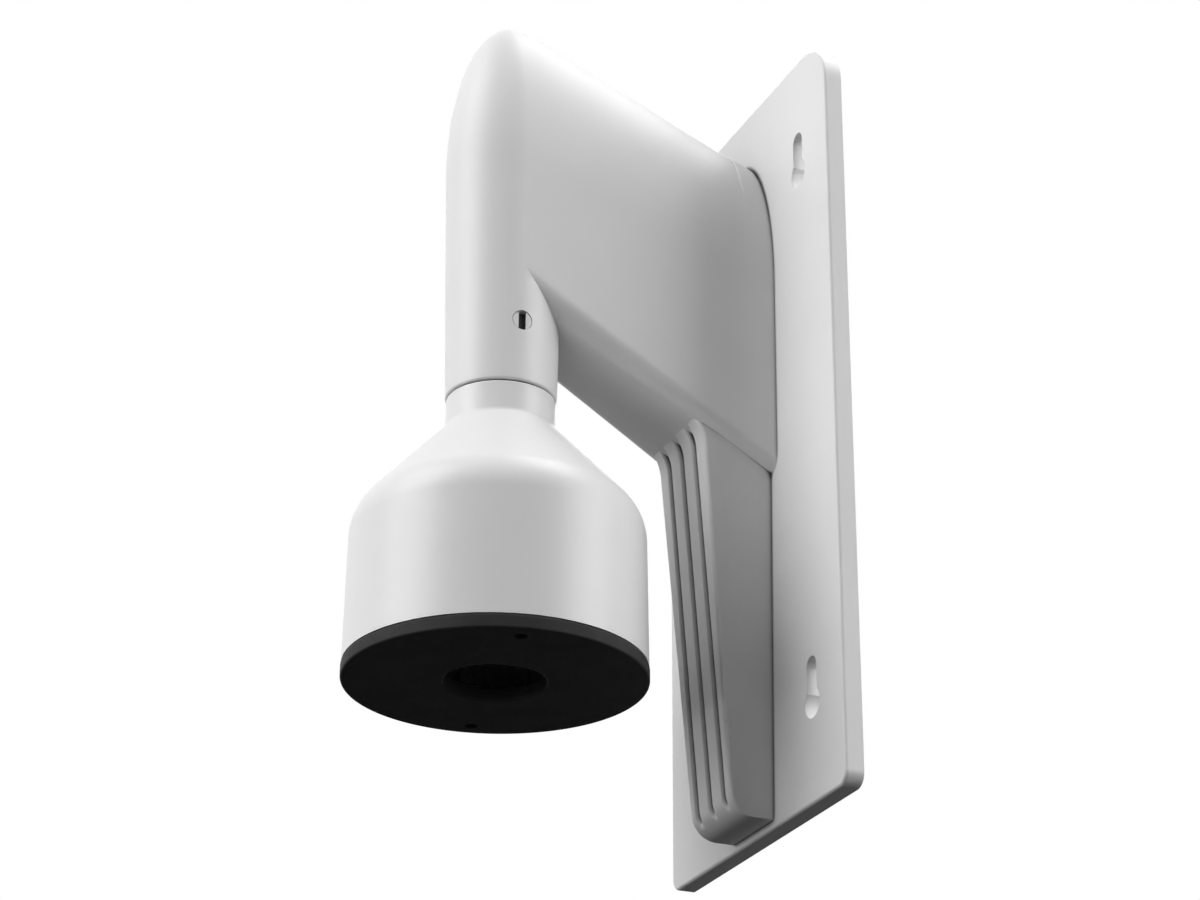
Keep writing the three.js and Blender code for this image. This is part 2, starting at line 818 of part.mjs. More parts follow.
function wallGasket() {
  const outside = plateRim + wallGasketClearance;
  const ring = extrudeFromWall(plateOutline(outside), wallGasketThickness, 0);
  const inside = plateOutline(outside + wallGasketWidth);
  return ring.subtract(extrudeFromWall(inside, wallGasketThickness + 2 * overrun, -overrun));
}

function wireWasher() {
  const near = postEnd - washerSeat - washerThickness;
  const far = postEnd - washerSeat;
  const disc = cylinderFromWall(washerRadius, near, far, 0, postHeight);
  const holeRadius = wireScrewRadius + wireScrewClearance;
  const hole = cylinderFromWall(holeRadius, near - overrun, far + overrun, 0, postHeight);
  return disc.subtract(hole);
}

function wireScrew() {
  const underHead = postEnd - 2 * washerSeat - washerThickness;
  const top = underHead - wireScrewHeadHeight;
  const tip = postEnd + wireScrewLength - wireScrewClearance;
  const head = cylinderFromWall(wireScrewHeadRadius, top, underHead, 0, postHeight);
  const shank = cylinderFromWall(wireScrewRadius, underHead - overrun, tip, 0, postHeight);
  let solid = head.add(shank);
  for (const turn of [0, Math.PI / 2]) {
    const bar = new THREE.BoxGeometry(
      wireScrewHeadRadius,
      2 * wireScrewCrossDepth,
      wireScrewCrossWidth,
    );
    bar.rotateY(turn);
    bar.translate(0, -top, postHeight);
    solid = solid.subtract(solidOf(bar));
  }
  return solid;
}

// ---- Assembly ----

const whitePaint = new THREE.MeshStandardMaterial({ color: 0xe6e6e6, roughness: 0.42, metalness: 0 });
const whiteCap = new THREE.MeshStandardMaterial({ color: 0xe9e9e9, roughness: 0.36, metalness: 0 });
const blackRubber = new THREE.MeshStandardMaterial({ color: 0x151515, roughness: 0.7, metalness: 0 });
const greyFoam = new THREE.MeshStandardMaterial({ color: 0x3a3a3a, roughness: 0.95, metalness: 0 });
const paintedScrew = new THREE.MeshStandardMaterial({ color: 0xe2e2e2, roughness: 0.45, metalness: 0 });
const zincSteel = new THREE.MeshStandardMaterial({ color: 0xb4b7ba, roughness: 0.35, metalness: 1 });
const brass = new THREE.MeshStandardMaterial({ color: 0xb9994f, roughness: 0.35, metalness: 1 });

const assembly = new THREE.Group();

function addPiece(name, solid, material) {
  const mesh = new THREE.Mesh(geometryOf(solid), material);
  mesh.name = name;
  assembly.add(mesh);
}

addPiece('bracket_casting', bracketCasting(), whitePaint);
addPiece('wall_gasket', wallGasket(), greyFoam);
addPiece('pipe_nipple', pipeNipple(), zincSteel);
addPiece('neck_set_screw', neckSetScrew(), paintedScrew);
addPiece('neck_seal_ring', sealRing(), blackRubber);
addPiece('pendant_cap', pendantCap(), whiteCap);
addPiece('camera_gasket', cameraGasket(), blackRubber);
cameraScrewPlaces.forEach((place, i) => addPiece(`cap_insert_${i + 1}`, capInsert(place), brass));
addPiece('safety_wire_washer', wireWasher(), zincSteel);
addPiece('safety_wire_screw', wireScrew(), zincSteel);

export default assembly;
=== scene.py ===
"""Looks of a wall bracket with a bell-shaped pendant cap for a dome security camera.

Metres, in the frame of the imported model: +Z up, the wall is the plane y = 0, and the bracket
stands out towards -Y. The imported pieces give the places, and finer meshes of the same forms stand
for them.
"""

import math

import bmesh
import bpy
from mathutils import Matrix, Vector


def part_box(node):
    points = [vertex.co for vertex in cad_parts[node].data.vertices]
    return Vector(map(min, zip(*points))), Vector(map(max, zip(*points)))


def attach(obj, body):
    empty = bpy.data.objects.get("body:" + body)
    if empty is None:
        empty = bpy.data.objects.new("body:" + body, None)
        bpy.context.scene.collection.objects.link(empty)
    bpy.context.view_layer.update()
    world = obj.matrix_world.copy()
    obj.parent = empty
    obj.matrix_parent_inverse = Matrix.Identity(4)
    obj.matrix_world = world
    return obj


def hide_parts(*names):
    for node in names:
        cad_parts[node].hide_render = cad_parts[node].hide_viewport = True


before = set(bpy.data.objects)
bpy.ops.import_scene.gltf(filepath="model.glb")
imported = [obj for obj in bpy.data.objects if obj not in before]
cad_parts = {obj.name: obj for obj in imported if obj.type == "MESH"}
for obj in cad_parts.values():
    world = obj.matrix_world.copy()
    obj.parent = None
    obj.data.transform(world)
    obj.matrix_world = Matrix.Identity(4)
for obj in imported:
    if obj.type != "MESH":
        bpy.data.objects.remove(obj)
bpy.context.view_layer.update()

# ---- Places read from the frame ----

casting_low, casting_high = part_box("bracket_casting")
cap_low, cap_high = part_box("pendant_cap")
gasket_low, gasket_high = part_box("camera_gasket")
nipple_low, nipple_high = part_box("pipe_nipple")
ring_low, ring_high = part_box("neck_seal_ring")
set_screw_low, set_screw_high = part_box("neck_set_screw")
strip_low, strip_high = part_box("wall_gasket")
washer_low, washer_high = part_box("safety_wire_washer")
wire_screw_low, wire_screw_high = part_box("safety_wire_screw")

PLATE_HALF = casting_high.x
PLATE_BOTTOM = casting_low.z
PLATE_TOP = -PLATE_BOTTOM
NOSE_TOP = casting_high.z
REACH = -(cap_low.y + cap_high.y) / 2
NOSE_RADIUS = -casting_low.y - REACH
CAP_RADIUS = (cap_high.x - cap_low.x) / 2
CAP_BOTTOM = cap_low.z
CAP_HEIGHT = cap_high.z - cap_low.z
GASKET_RADIUS = (gasket_high.x - gasket_low.x) / 2
GASKET_BOTTOM = gasket_low.z
GASKET_THICKNESS = gasket_high.z - gasket_low.z
NIPPLE_RADIUS = (nipple_high.x - nipple_low.x) / 2
RING_OUTER = (ring_high.x - ring_low.x) / 2
SET_SCREW_AXIS = (set_screw_low.z + set_screw_high.z) / 2
SET_SCREW_RADIUS = (set_screw_high.z - set_screw_low.z) / 2
STRIP_THICKNESS = strip_high.y - strip_low.y
POST_HEIGHT = (wire_screw_low.z + wire_screw_high.z) / 2

# ---- Sizes of the forms ----

# The gap that most pieces keep to what they fit or rest on
SEAT_GAP = 0.0003

# Wall plate and its keyholes
PLATE_THICKNESS = 0.007
PLATE_TOP_CORNER = 0.018
PLATE_BOTTOM_CORNER = 0.005
PLATE_LEAST_CORNER = 0.001
PLATE_EDGE = 0.0012
PLATE_RIM = 0.006
RECESS_DEPTH = 0.003
SLOT_INSET_X = 0.023
SLOT_INSET_Z = 0.041
SLOT_HEIGHT = 0.022
KEY_HEAD = 0.0054
KEY_NECK = 0.0035
KEY_EDGE = 0.0004
SLOT_BOSS_WALL = 0.004

# Arm and nose
ARM_HALF_AT_WALL = 0.0256
ARM_NARROWING = 1.4
RIDGE_AT_WALL = 0.1205
RIDGE_BLEND = 0.012
SPRING_AT_WALL = 0.065
SPRING_AT_NOSE = 0.100
UNDERSIDE_AT_WALL = -0.0125
UNDERSIDE_AT_NOSE = 0.0435
UNDERSIDE_FILLET_AT_WALL = 0.005
UNDERSIDE_FILLET_AT_NOSE = 0.009
NOSE_LOWER_FILLET = 0.001
SIDE_TAPER_AT_WALL = 0.010
SIDE_TAPER_AT_NOSE = 0.022
ARM_WALL = 0.004
ARM_COLLAR_WIDTH = 0.010
ARM_COLLAR_STEP = 0.001
ARM_COLLAR_ROUND = 0.0015

# Neck
SEAM_GAP = 0.0005
NECK_END = cap_high.z + SEAM_GAP
NECK_CHAMFER = 0.0008
NECK_STEP = 0.00002
NECK_BORE = NIPPLE_RADIUS + SEAT_GAP
SEAL_GROOVE_DEPTH = 0.0017
SET_SCREW_CLEARANCE = 0.0001

# Leg and its grooves
LEG_DEPTH_TOP = 0.034
LEG_DEPTH_BOTTOM = 0.023
LEG_HALF_TOP = 0.020
LEG_HALF_BOTTOM = 0.0162
LEG_BOTTOM = PLATE_BOTTOM + 0.003
LEG_BOTTOM_ROUND = 0.011
LEG_TOP_BLEND = 0.016
LEG_TOP_RUN = 0.030
LEG_TOP_SINK = 0.006
LEG_TOP_PINCH = 0.002
LEG_CORNER = 0.0014
LEG_CORNER_AT_TOP = 0.0022
LEG_WALL = 0.0035
GROOVE_SPACING = 0.0108
GROOVE_WIDTH = 0.0032
GROOVE_FLOOR_HALF = 0.000375
GROOVE_DEPTH = 0.0036
GROOVE_LIP = 0.0003
GROOVE_RUN_OUT_LOW = 0.002
GROOVE_RUN_OUT_HIGH = 0.009
GROOVE_LEAST = 0.00002

# Cap
CAP_DRAFT = 0.0008
CAP_WALL = 0.003
CAP_WALL_HEIGHT = 0.054
CAP_SHOULDER = 0.020
COLLAR_STEP = 0.0004
COLLAR_HEIGHT = 0.0115
COLLAR_FILLET = 0.003
COLLAR_EDGE = 0.0008
RIB_COUNT = 8
RIB_THICKNESS = 0.0024
RIB_DEPTH = 0.006
RIB_START = 0.010
RIB_LEAD = 0.006
BOSS_RADIUS = 0.0052
BOSS_HEIGHT = 0.016
CAMERA_SCREW_CIRCLE = CAP_RADIUS - 0.0074
CAMERA_SCREW_ANGLE = math.radians(-10)

# Gasket, inserts, nipple and small screws
GASKET_HOLE = 0.0178
GASKET_EDGE = 0.0008
GASKET_SCREW_HOLE = 0.0024
INSERT_RADIUS = 0.0031
INSERT_BORE = 0.0018
INSERT_LENGTH = 0.008
INSERT_SINK = 0.0005
INSERT_WAIST = 0.08
KNURL_DEPTH = 0.00018
KNURL_COUNT = 18
KNURL_RISE = 6
NIPPLE_BORE = 0.010
PIPE_PITCH = 0.0254 / 14
PIPE_THREAD_DEPTH = 0.0010
RING_WIDTH = 0.0038
RING_INNER = RING_OUTER - RING_WIDTH
RING_EDGE = 0.0006
SCREW_SLOT = 0.0028
SCREW_SLOT_DEPTH = 0.0026
SCREW_POINT = 0.0008
SCREW_EDGE = 0.0004
STRIP_WIDTH = 0.005
STRIP_INSET = PLATE_RIM + SEAT_GAP
STRIP_EDGE = 0.0006
POST_RADIUS = 0.0045
POST_LENGTH = 0.014
POST_END = -washer_low.y - SEAT_GAP
PILOT_DEPTH = 0.008
WIRE_SCREW_RADIUS = 0.0019
WIRE_SCREW_HEAD = 0.0026
WIRE_SCREW_DOME = 0.0016
WIRE_SCREW_PITCH = 0.0007
WIRE_THREAD_DEPTH = 0.0003
SHANK_SINK = 0.0002
CROSS_DEPTH = 0.0015
CROSS_HALF_WIDTH = 0.0005
CROSS_FLOOR_LENGTH = 0.4
CROSS_FLOOR_WIDTH = 0.6
WASHER_EDGE = 0.0002

# Smoothness, and how far cuts run past the faces that they open
MERGE = 1e-7
OVERRUN = 0.001
ROUND = 160
SMALL_ROUND = 48
EDGE_STEPS = 6
KEYHOLE_STEPS = 14
BOSS_STEPS = 20
ARM_STATIONS = 60
COLLAR_STEPS = 8
NOSE_TURNS = 32
NECK_STATIONS = 16
HOLLOW_STATIONS = 24
HOLLOW_TURNS = 16
LEG_STATION = 0.003
BEND_STEPS = 16
CORNER_STEPS = 10
GROOVE_STEPS = 14
CAP_STEPS = 14
CAP_HOLLOW_STEPS = 8
THREAD_ROWS = 8
PIPE_COLUMNS = 72
WIRE_COLUMNS = 32
KNURL_ROWS = 48
KNURL_COLUMNS = 144
SHARP_ANGLE = math.radians(28)
TURN = 2 * math.pi
QUARTER = math.pi / 2

# Turns that lay an upright piece along +X, out from the wall, and into the wall
Z_TO_X = Matrix.Rotation(QUARTER, 4, "Y")
Z_TO_ROOM = Matrix.Rotation(QUARTER, 4, "X")
Z_TO_WALL = Matrix.Rotation(-QUARTER, 4, "X")


# ---- Mesh helpers ----

def piece_of(name, points, faces):
    """A closed piece with its doubled points merged and its faces turned outward."""
    mesh = bpy.data.meshes.new(name)
    mesh.from_pydata([tuple(float(v) for v in p) for p in points], [], faces)
    shaped = bmesh.new()
    shaped.from_mesh(mesh)
    bmesh.ops.remove_doubles(shaped, verts=shaped.verts, dist=MERGE)
    bmesh.ops.recalc_face_normals(shaped, faces=shaped.faces)
    shaped.to_mesh(mesh)
    shaped.free()
    piece = bpy.data.objects.new(name, mesh)
    bpy.context.scene.collection.objects.link(piece)
    return piece


def quads(rows, columns, wrap_rows=False):
    """The faces of a grid whose rows are closed loops."""
    faces = []
    for row in range(rows if wrap_rows else rows - 1):
        below, above = row * columns, (row + 1) % rows * columns
        for k in range(columns):
            after = (k + 1) % columns
            faces.append((below + k, below + after, above + after, above + k))
    return faces


def loft(name, sections, folded_end=False, looped=False):
    """Skins a row of closed sections. A looped one runs back into its first section."""
    columns = len(sections[0])
    faces = quads(len(sections), columns, looped)
    if not looped:
        faces.append(tuple(range(columns)))
        if not folded_end:
            last = (len(sections) - 1) * columns
            faces.append(tuple(range(last, last + columns)))
    return piece_of(name, [p for section in sections for p in section], faces)


def revolve(name, profile, segments=ROUND, x=0.0, y=0.0, turn=0.0, closed=False):
    """A round solid about a vertical axis, from points of radius and height."""
    angles = [turn + TURN * k / segments for k in range(segments)]
    sections = [
        [(x + radius * math.cos(a), y + radius * math.sin(a), height) for a in angles]
        for radius, height in profile
    ]
    faces = quads(len(sections), segments, closed)
    return piece_of(name, [p for section in sections for p in section], faces)


def combine(piece, tool, operation):
    """Joins the tool to the piece, or cuts it away, and removes the tool."""
    modifier = piece.modifiers.new("combine", "BOOLEAN")
    modifier.operation = operation
    modifier.solver = "MANIFOLD"
    modifier.object = tool
    bpy.context.view_layer.update()
    graph = bpy.context.evaluated_depsgraph_get()
    result = bpy.data.meshes.new_from_object(piece.evaluated_get(graph))
    piece.modifiers.clear()
    spent = piece.data
    piece.data = result
    bpy.data.meshes.remove(spent)
    bpy.data.objects.remove(tool)
    return piece


def join(piece, tool):
    return combine(piece, tool, "UNION")


def cut(piece, tool):
    return combine(piece, tool, "DIFFERENCE")


def dressed(piece, material, node, body):
    """Shades a piece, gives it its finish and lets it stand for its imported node."""
    piece.data.shade_smooth()
    piece.data.set_sharp_from_angle(angle=SHARP_ANGLE)
    normals = piece.modifiers.new("normals", "WEIGHTED_NORMAL")
    normals.keep_sharp = True
    piece.data.materials.clear()
    piece.data.materials.append(material)
    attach(piece, body)
    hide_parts(node)
    return piece


def mix(low, high, share):
    return low + (high - low) * share


def smooth_share(low, high, value):
    share = min(1.0, max(0.0, (value - low) / (high - low)))
    return share * share * (3 - 2 * share)


def arc(centre, radius, start, end, steps):
    """Points of a flat arc, with both its ends."""
    turns = [mix(start, end, k / steps) for k in range(steps + 1)]
    return [(centre[0] + radius * math.cos(t), centre[1] + radius * math.sin(t)) for t in turns]


def rounded(corners, steps):
    """An open row of points whose corners, given as (x, y, radius), are rounded."""
    points = []
    for i, (x, y, radius) in enumerate(corners):
        here = Vector((x, y))
        if not radius or i in (0, len(corners) - 1):
            points.append((x, y))
            continue
        back = Vector(corners[i - 1][:2]) - here
        ahead = Vector(corners[i + 1][:2]) - here
        half = back.angle(ahead) / 2
        run = min(radius / math.tan(half), back.length / 2, ahead.length / 2)
        true_radius = run * math.tan(half)
        towards = (back.normalized() + ahead.normalized()).normalized()
        centre = here + towards * (true_radius / math.sin(half))
        first = here + back.normalized() * run - centre
        last = here + ahead.normalized() * run - centre
        start = math.atan2(first.y, first.x)
        sweep = (math.atan2(last.y, last.x) - start + math.pi) % TURN - math.pi
        points += arc(centre, true_radius, start, start + sweep, steps)
    return points


def at_depth(outline, distance):
    """An outline of x and z, stood at a distance from the wall."""
    return [(x, -distance, z) for x, z in outline]


def placed(piece, place, turn=Matrix.Identity(4)):
    """Turns a piece about the origin and then carries it to its place."""
    piece.data.transform(Matrix.Translation(place) @ turn)
    return piece


# ---- Wall plate ----

def plate_outline(inset):
    steps = 12
    half = PLATE_HALF - inset
    low = PLATE_BOTTOM + inset
    high = PLATE_TOP - inset
    top = max(PLATE_LEAST_CORNER, PLATE_TOP_CORNER - inset)
    bottom = max(PLATE_LEAST_CORNER, PLATE_BOTTOM_CORNER - inset)
    return (
        arc((half - bottom, low + bottom), bottom, -QUARTER, 0, steps)
        + arc((half - top, high - top), top, 0, QUARTER, steps)
        + arc((top - half, high - top), top, QUARTER, 2 * QUARTER, steps)
        + arc((bottom - half, low + bottom), bottom, 2 * QUARTER, 3 * QUARTER, steps)
    )


def plate_body():
    rows = [(0.0, 0.0), (0.0, PLATE_THICKNESS - PLATE_EDGE)]
    for k in range(1, EDGE_STEPS + 1):
        turn = k / EDGE_STEPS * QUARTER
        inset = PLATE_EDGE * (1 - math.cos(turn))
        rows.append((inset, PLATE_THICKNESS - PLATE_EDGE * (1 - math.sin(turn))))
    return loft("plate", [at_depth(plate_outline(inset), depth) for inset, depth in rows])


def slot_places():
    return [
        (side * (PLATE_HALF - SLOT_INSET_X), level * (PLATE_TOP - SLOT_INSET_Z))
        for side in (-1, 1)
        for level in (-1, 1)
    ]


def keyhole_outline(x, z, grow):
    """The wide head below and the narrow neck above."""
    head = KEY_HEAD + grow
    neck = KEY_NECK + grow
    head_z = z - SLOT_HEIGHT / 2 + KEY_HEAD
    neck_z = z + SLOT_HEIGHT / 2 - KEY_NECK
    meet = math.asin(neck / head)
    return (
        arc((x, head_z), head, QUARTER + meet, QUARTER - meet + TURN, 2 * KEYHOLE_STEPS)
        + arc((x, neck_z), neck, 0, math.pi, KEYHOLE_STEPS)
    )


def keyhole_cutter(x, z):
    """Cuts a keyhole whose front edge is softened by the coating."""
    rows = [(-OVERRUN, 0.0), (PLATE_THICKNESS - KEY_EDGE, 0.0)]
    rows += [(PLATE_THICKNESS - KEY_EDGE / 3, KEY_EDGE / 3), (PLATE_THICKNESS, KEY_EDGE)]
    rows.append((PLATE_THICKNESS + OVERRUN, KEY_EDGE + OVERRUN))
    sections = [at_depth(keyhole_outline(x, z, grow), distance) for distance, grow in rows]
    return loft("keyhole", sections)


def recess_cutter():
    """Hollows the plate's back inside its rim, round a boss at each keyhole."""
    levels = (-OVERRUN, RECESS_DEPTH)
    recess = loft("recess", [at_depth(plate_outline(PLATE_RIM), level) for level in levels])
    radius = KEY_HEAD + SLOT_BOSS_WALL
    for x, z in slot_places():
        low = z - SLOT_HEIGHT / 2 + KEY_HEAD
        high = z + SLOT_HEIGHT / 2 - KEY_NECK
        outline = arc((x, low), radius, math.pi, TURN, BOSS_STEPS)
        outline += arc((x, high), radius, 0, math.pi, BOSS_STEPS)
        ends = (-2 * OVERRUN, RECESS_DEPTH + OVERRUN)
        recess = cut(recess, loft("boss", [at_depth(outline, end) for end in ends]))
    return recess


# ---- Arm, nose and neck ----

def along_arm(at_wall, at_nose, distance):
    share = (distance - PLATE_THICKNESS) / (REACH - PLATE_THICKNESS)
    return mix(at_wall, at_nose, share)


def ridge_at(distance):
    slope = (NOSE_TOP - RIDGE_AT_WALL) / (REACH - PLATE_THICKNESS - RIDGE_BLEND / 2)
    if distance <= REACH - RIDGE_BLEND:
        return RIDGE_AT_WALL + slope * (distance - PLATE_THICKNESS)
    return NOSE_TOP - slope * (REACH - distance) ** 2 / (2 * RIDGE_BLEND)


def half_width_at(distance):
    share = (REACH - distance) / (REACH - PLATE_THICKNESS)
    return NOSE_RADIUS + (ARM_HALF_AT_WALL - NOSE_RADIUS) * share ** ARM_NARROWING


def underside_at(distance):
    return along_arm(UNDERSIDE_AT_WALL, UNDERSIDE_AT_NOSE, distance)


def underside_fillet_at(distance):
    return along_arm(UNDERSIDE_FILLET_AT_WALL, UNDERSIDE_FILLET_AT_NOSE, distance)


def side_at(distance, z):
    spring = along_arm(SPRING_AT_WALL, SPRING_AT_NOSE, distance)
    taper = along_arm(SIDE_TAPER_AT_WALL, SIDE_TAPER_AT_NOSE, distance)
    return half_width_at(distance) - taper * max(0.0, spring - z)


def arm_profile(distance, grow, fillet, rise):
    """Half of a section: underside, fillet, leaning side and an arch whose ridge may rise."""
    spring = along_arm(SPRING_AT_WALL, SPRING_AT_NOSE, distance)
    ridge = ridge_at(distance) + grow + rise
    under = underside_at(distance) - grow
    start = under + fillet
    width = side_at(distance, start) + grow
    flat_steps, fillet_steps, side_steps, arch_steps = 6, 12, 16, 30
    points = [((width - fillet) * k / flat_steps, under) for k in range(flat_steps)]
    for k in range(fillet_steps + 1):
        turn = k / fillet_steps * QUARTER
        points.append((width - fillet + fillet * math.sin(turn), start - fillet * math.cos(turn)))
    tangent = under + underside_fillet_at(distance)
    for k in range(side_steps):
        z = mix(tangent, spring, k / side_steps)
        points.append((side_at(distance, z) + grow, z))
    for k in range(arch_steps):
        turn = k / arch_steps * QUARTER
        x = (half_width_at(distance) + grow) * math.cos(turn)
        points.append((x, spring + (ridge - spring) * math.sin(turn)))
    points.append((0.0, ridge))
    return points


def arm_section(distance, swing, grow, fillet, rise=0.0):
    """A closed section. Past the cap's axis both halves swing round to the tip of the nose."""
    profile = arm_profile(distance, grow, fillet, rise)
    right = [(x * math.cos(swing), -distance - x * math.sin(swing), z) for x, z in profile]
    left = [(-x, y, z) for x, y, z in right[1:-1][::-1]]
    return right + left


def arm_body(name, grow, start, collar, stations, nose_turns):
    """The arm with a collar over its foot, which runs out down the arch, and the nose."""
    def section(distance, rise):
        return arm_section(distance, 0, grow, underside_fillet_at(distance), rise)

    sections = [section(start, collar)]
    collar_end = PLATE_THICKNESS + ARM_COLLAR_WIDTH
    if collar:
        for k in range(COLLAR_STEPS + 1):
            turn = k / COLLAR_STEPS * QUARTER
            distance = collar_end - ARM_COLLAR_ROUND * (1 - math.sin(turn))
            sections.append(section(distance, collar * math.cos(turn)))
    for k in range(1, stations + 1):
        sections.append(section(mix(collar_end, REACH, k / stations), 0.0))
    for k in range(nose_turns + 1):
        swing = k / nose_turns * QUARTER
        sections.append(arm_section(REACH, swing, grow, NOSE_LOWER_FILLET))
    return loft(name, sections, folded_end=True)


def neck_body():
    """The neck carries the nose's taper on down to the seam."""
    slip = underside_at(REACH) + NOSE_LOWER_FILLET + OVERRUN
    top = underside_at(REACH) + UNDERSIDE_FILLET_AT_NOSE
    radius = side_at(REACH, NECK_END) + NECK_STEP
    chamfer_top = NECK_END + NECK_CHAMFER
    corner = arc((radius - NECK_CHAMFER, chamfer_top), NECK_CHAMFER, -QUARTER, 0, EDGE_STEPS)
    profile = [(0.0, NECK_END), *corner]
    for k in range(1, NECK_STATIONS + 1):
        z = mix(chamfer_top, slip, k / NECK_STATIONS)
        profile.append((side_at(REACH, z) + NECK_STEP, z))
    profile.append((side_at(REACH, slip + OVERRUN) - NECK_STEP, slip + OVERRUN))
    profile.append((side_at(REACH, top) - NECK_STEP, top))
    profile.append((0.0, top + NOSE_RADIUS / 2))
    segments = 4 * NOSE_TURNS
    return revolve("neck", profile, segments, 0.0, -REACH, math.pi / segments)


# ---- Leg ----

def leg_front():
    """The leg's front seen from the side, as distance from the wall and height."""
    blend = LEG_DEPTH_TOP + LEG_TOP_RUN
    knee = underside_at(LEG_DEPTH_TOP)
    low = rounded([
        (PLATE_THICKNESS, LEG_BOTTOM, 0),
        (LEG_DEPTH_BOTTOM, LEG_BOTTOM, LEG_BOTTOM_ROUND),
        (LEG_DEPTH_TOP, knee, LEG_TOP_BLEND),
        (blend, underside_at(blend) + LEG_TOP_SINK, 0),
    ], BEND_STEPS)
    points = []
    for here, after in zip(low, low[1:]):
        steps = max(1, round((after[1] - here[1]) / LEG_STATION))
        for k in range(steps):
            share = k / steps
            points.append((mix(here[0], after[0], share), mix(here[1], after[1], share)))
    return points + [low[-1]]


def groove(centre, front, depth):
    """A round-bottomed groove across the front, from its right lip to its left lip."""
    lip = GROOVE_WIDTH / 2 + GROOVE_LIP
    points = []
    for k in range(GROOVE_STEPS + 1):
        x = mix(lip, -lip, k / GROOVE_STEPS)
        sunk = smooth_share(0.0, 1.0, (lip - abs(x)) / (lip - GROOVE_FLOOR_HALF))
        points.append((centre + x, front - depth * sunk))
    return points


def leg_section(depth, z, inset, grooved):
    knee = underside_at(LEG_DEPTH_TOP)
    straight = mix(LEG_HALF_BOTTOM, LEG_HALF_TOP, (z - LEG_BOTTOM) / (knee - LEG_BOTTOM))
    merge = smooth_share(knee - LEG_TOP_BLEND / 2, knee + LEG_TOP_BLEND / 2, z)
    half = straight - inset - merge * LEG_TOP_PINCH
    front = depth - (0.0 if grooved else inset + GROOVE_DEPTH)
    back = RECESS_DEPTH if grooved else -OVERRUN
    flat_edge = GROOVE_SPACING + GROOVE_WIDTH / 2 + 2 * GROOVE_LIP if grooved else OVERRUN
    wanted = mix(LEG_CORNER, LEG_CORNER_AT_TOP, merge)
    corner = min(wanted, (front - back) / 2, half - flat_edge)
    fade = smooth_share(LEG_BOTTOM + GROOVE_RUN_OUT_LOW, LEG_BOTTOM + GROOVE_RUN_OUT_HIGH, z)
    depth_here = max(GROOVE_LEAST, min(GROOVE_DEPTH * fade, (front - back) / 3))
    right = [(half, back)]
    right += arc((half - corner, front - corner), corner, 0, QUARTER, CORNER_STEPS)
    if grooved:
        right += groove(GROOVE_SPACING, front, depth_here)
    left = [(-x, y) for x, y in right[::-1]]
    middle = groove(0.0, front, depth_here) if grooved else []
    return [(x, -y, z) for x, y in right + middle + left]


def leg_body(name, inset, grooved):
    floor = LEG_BOTTOM + (0.0 if grooved else inset)
    profile = leg_front()
    lowest = [p for p in profile if p[1] <= floor + MERGE][-1]
    rising = [p for p in profile if p[1] > floor + MERGE]
    sections = [leg_section(lowest[0], floor, inset, grooved)]
    sections += [leg_section(x, z, inset, grooved) for x, z in rising]
    return loft(name, sections)


# ---- Bracket casting ----

def upright(radius, low, high, x, y, segments=SMALL_ROUND):
    """An upright cylinder."""
    return revolve("bar", [(0.0, low), (radius, low), (radius, high), (0.0, high)], segments, x, y)


def from_wall(radius, near, far, x, z):
    """A cylinder along Y between two distances from the wall."""
    return placed(upright(radius, near, far, 0.0, 0.0), (x, 0, z), Z_TO_ROOM)


def ring_profile(inner, outer, low, high, edge):
    """A closed ring section, with rounded edges or with sharp ones where edge is 0."""
    if not edge:
        return [(inner, low), (outer, low), (outer, high), (inner, high)]
    steps = 4
    return (
        arc((outer - edge, low + edge), edge, -QUARTER, 0, steps)
        + arc((outer - edge, high - edge), edge, 0, QUARTER, steps)
        + arc((inner + edge, high - edge), edge, QUARTER, 2 * QUARTER, steps)
        + arc((inner + edge, low + edge), edge, 2 * QUARTER, 3 * QUARTER, steps)
    )


def ring(name, inner, outer, low, high, edge=0.0, segments=ROUND, y=0.0):
    return revolve(name, ring_profile(inner, outer, low, high, edge), segments, y=y, closed=True)


def bracket_casting():
    casting = plate_body()
    arm_start = RECESS_DEPTH + OVERRUN
    join(casting, arm_body("arm", 0.0, arm_start, ARM_COLLAR_STEP, ARM_STATIONS, NOSE_TURNS))
    join(casting, neck_body())
    join(casting, leg_body("leg", 0.0, True))
    cut(casting, arm_body("hollow", -ARM_WALL, -OVERRUN, 0.0, HOLLOW_STATIONS, HOLLOW_TURNS))
    cut(casting, leg_body("leg_hollow", LEG_WALL, False))
    cut(casting, recess_cutter())
    for x, z in slot_places():
        cut(casting, keyhole_cutter(x, z))
    bore_top = underside_at(REACH) + ARM_WALL + OVERRUN
    cut(casting, upright(NECK_BORE, NECK_END - OVERRUN, bore_top, 0.0, -REACH, ROUND))
    hole = upright(SET_SCREW_RADIUS + SET_SCREW_CLEARANCE, 0.0, NOSE_RADIUS + OVERRUN, 0.0, 0.0)
    cut(casting, placed(hole, (0, -REACH, SET_SCREW_AXIS), Z_TO_X))
    inner, outer = RING_INNER - SEAT_GAP, RING_OUTER + SEAT_GAP
    low, high = NECK_END - OVERRUN, NECK_END + SEAL_GROOVE_DEPTH
    cut(casting, ring("groove", inner, outer, low, high, y=-REACH))
    join(casting, from_wall(POST_RADIUS, POST_END, POST_END + POST_LENGTH, 0.0, POST_HEIGHT))
    pilot = WIRE_SCREW_RADIUS + SEAT_GAP
    cut(casting, from_wall(pilot, POST_END - OVERRUN, POST_END + PILOT_DEPTH, 0.0, POST_HEIGHT))
    casting.name = "bracket_casting_fine"
    return casting


# ---- Cap and what it carries ----

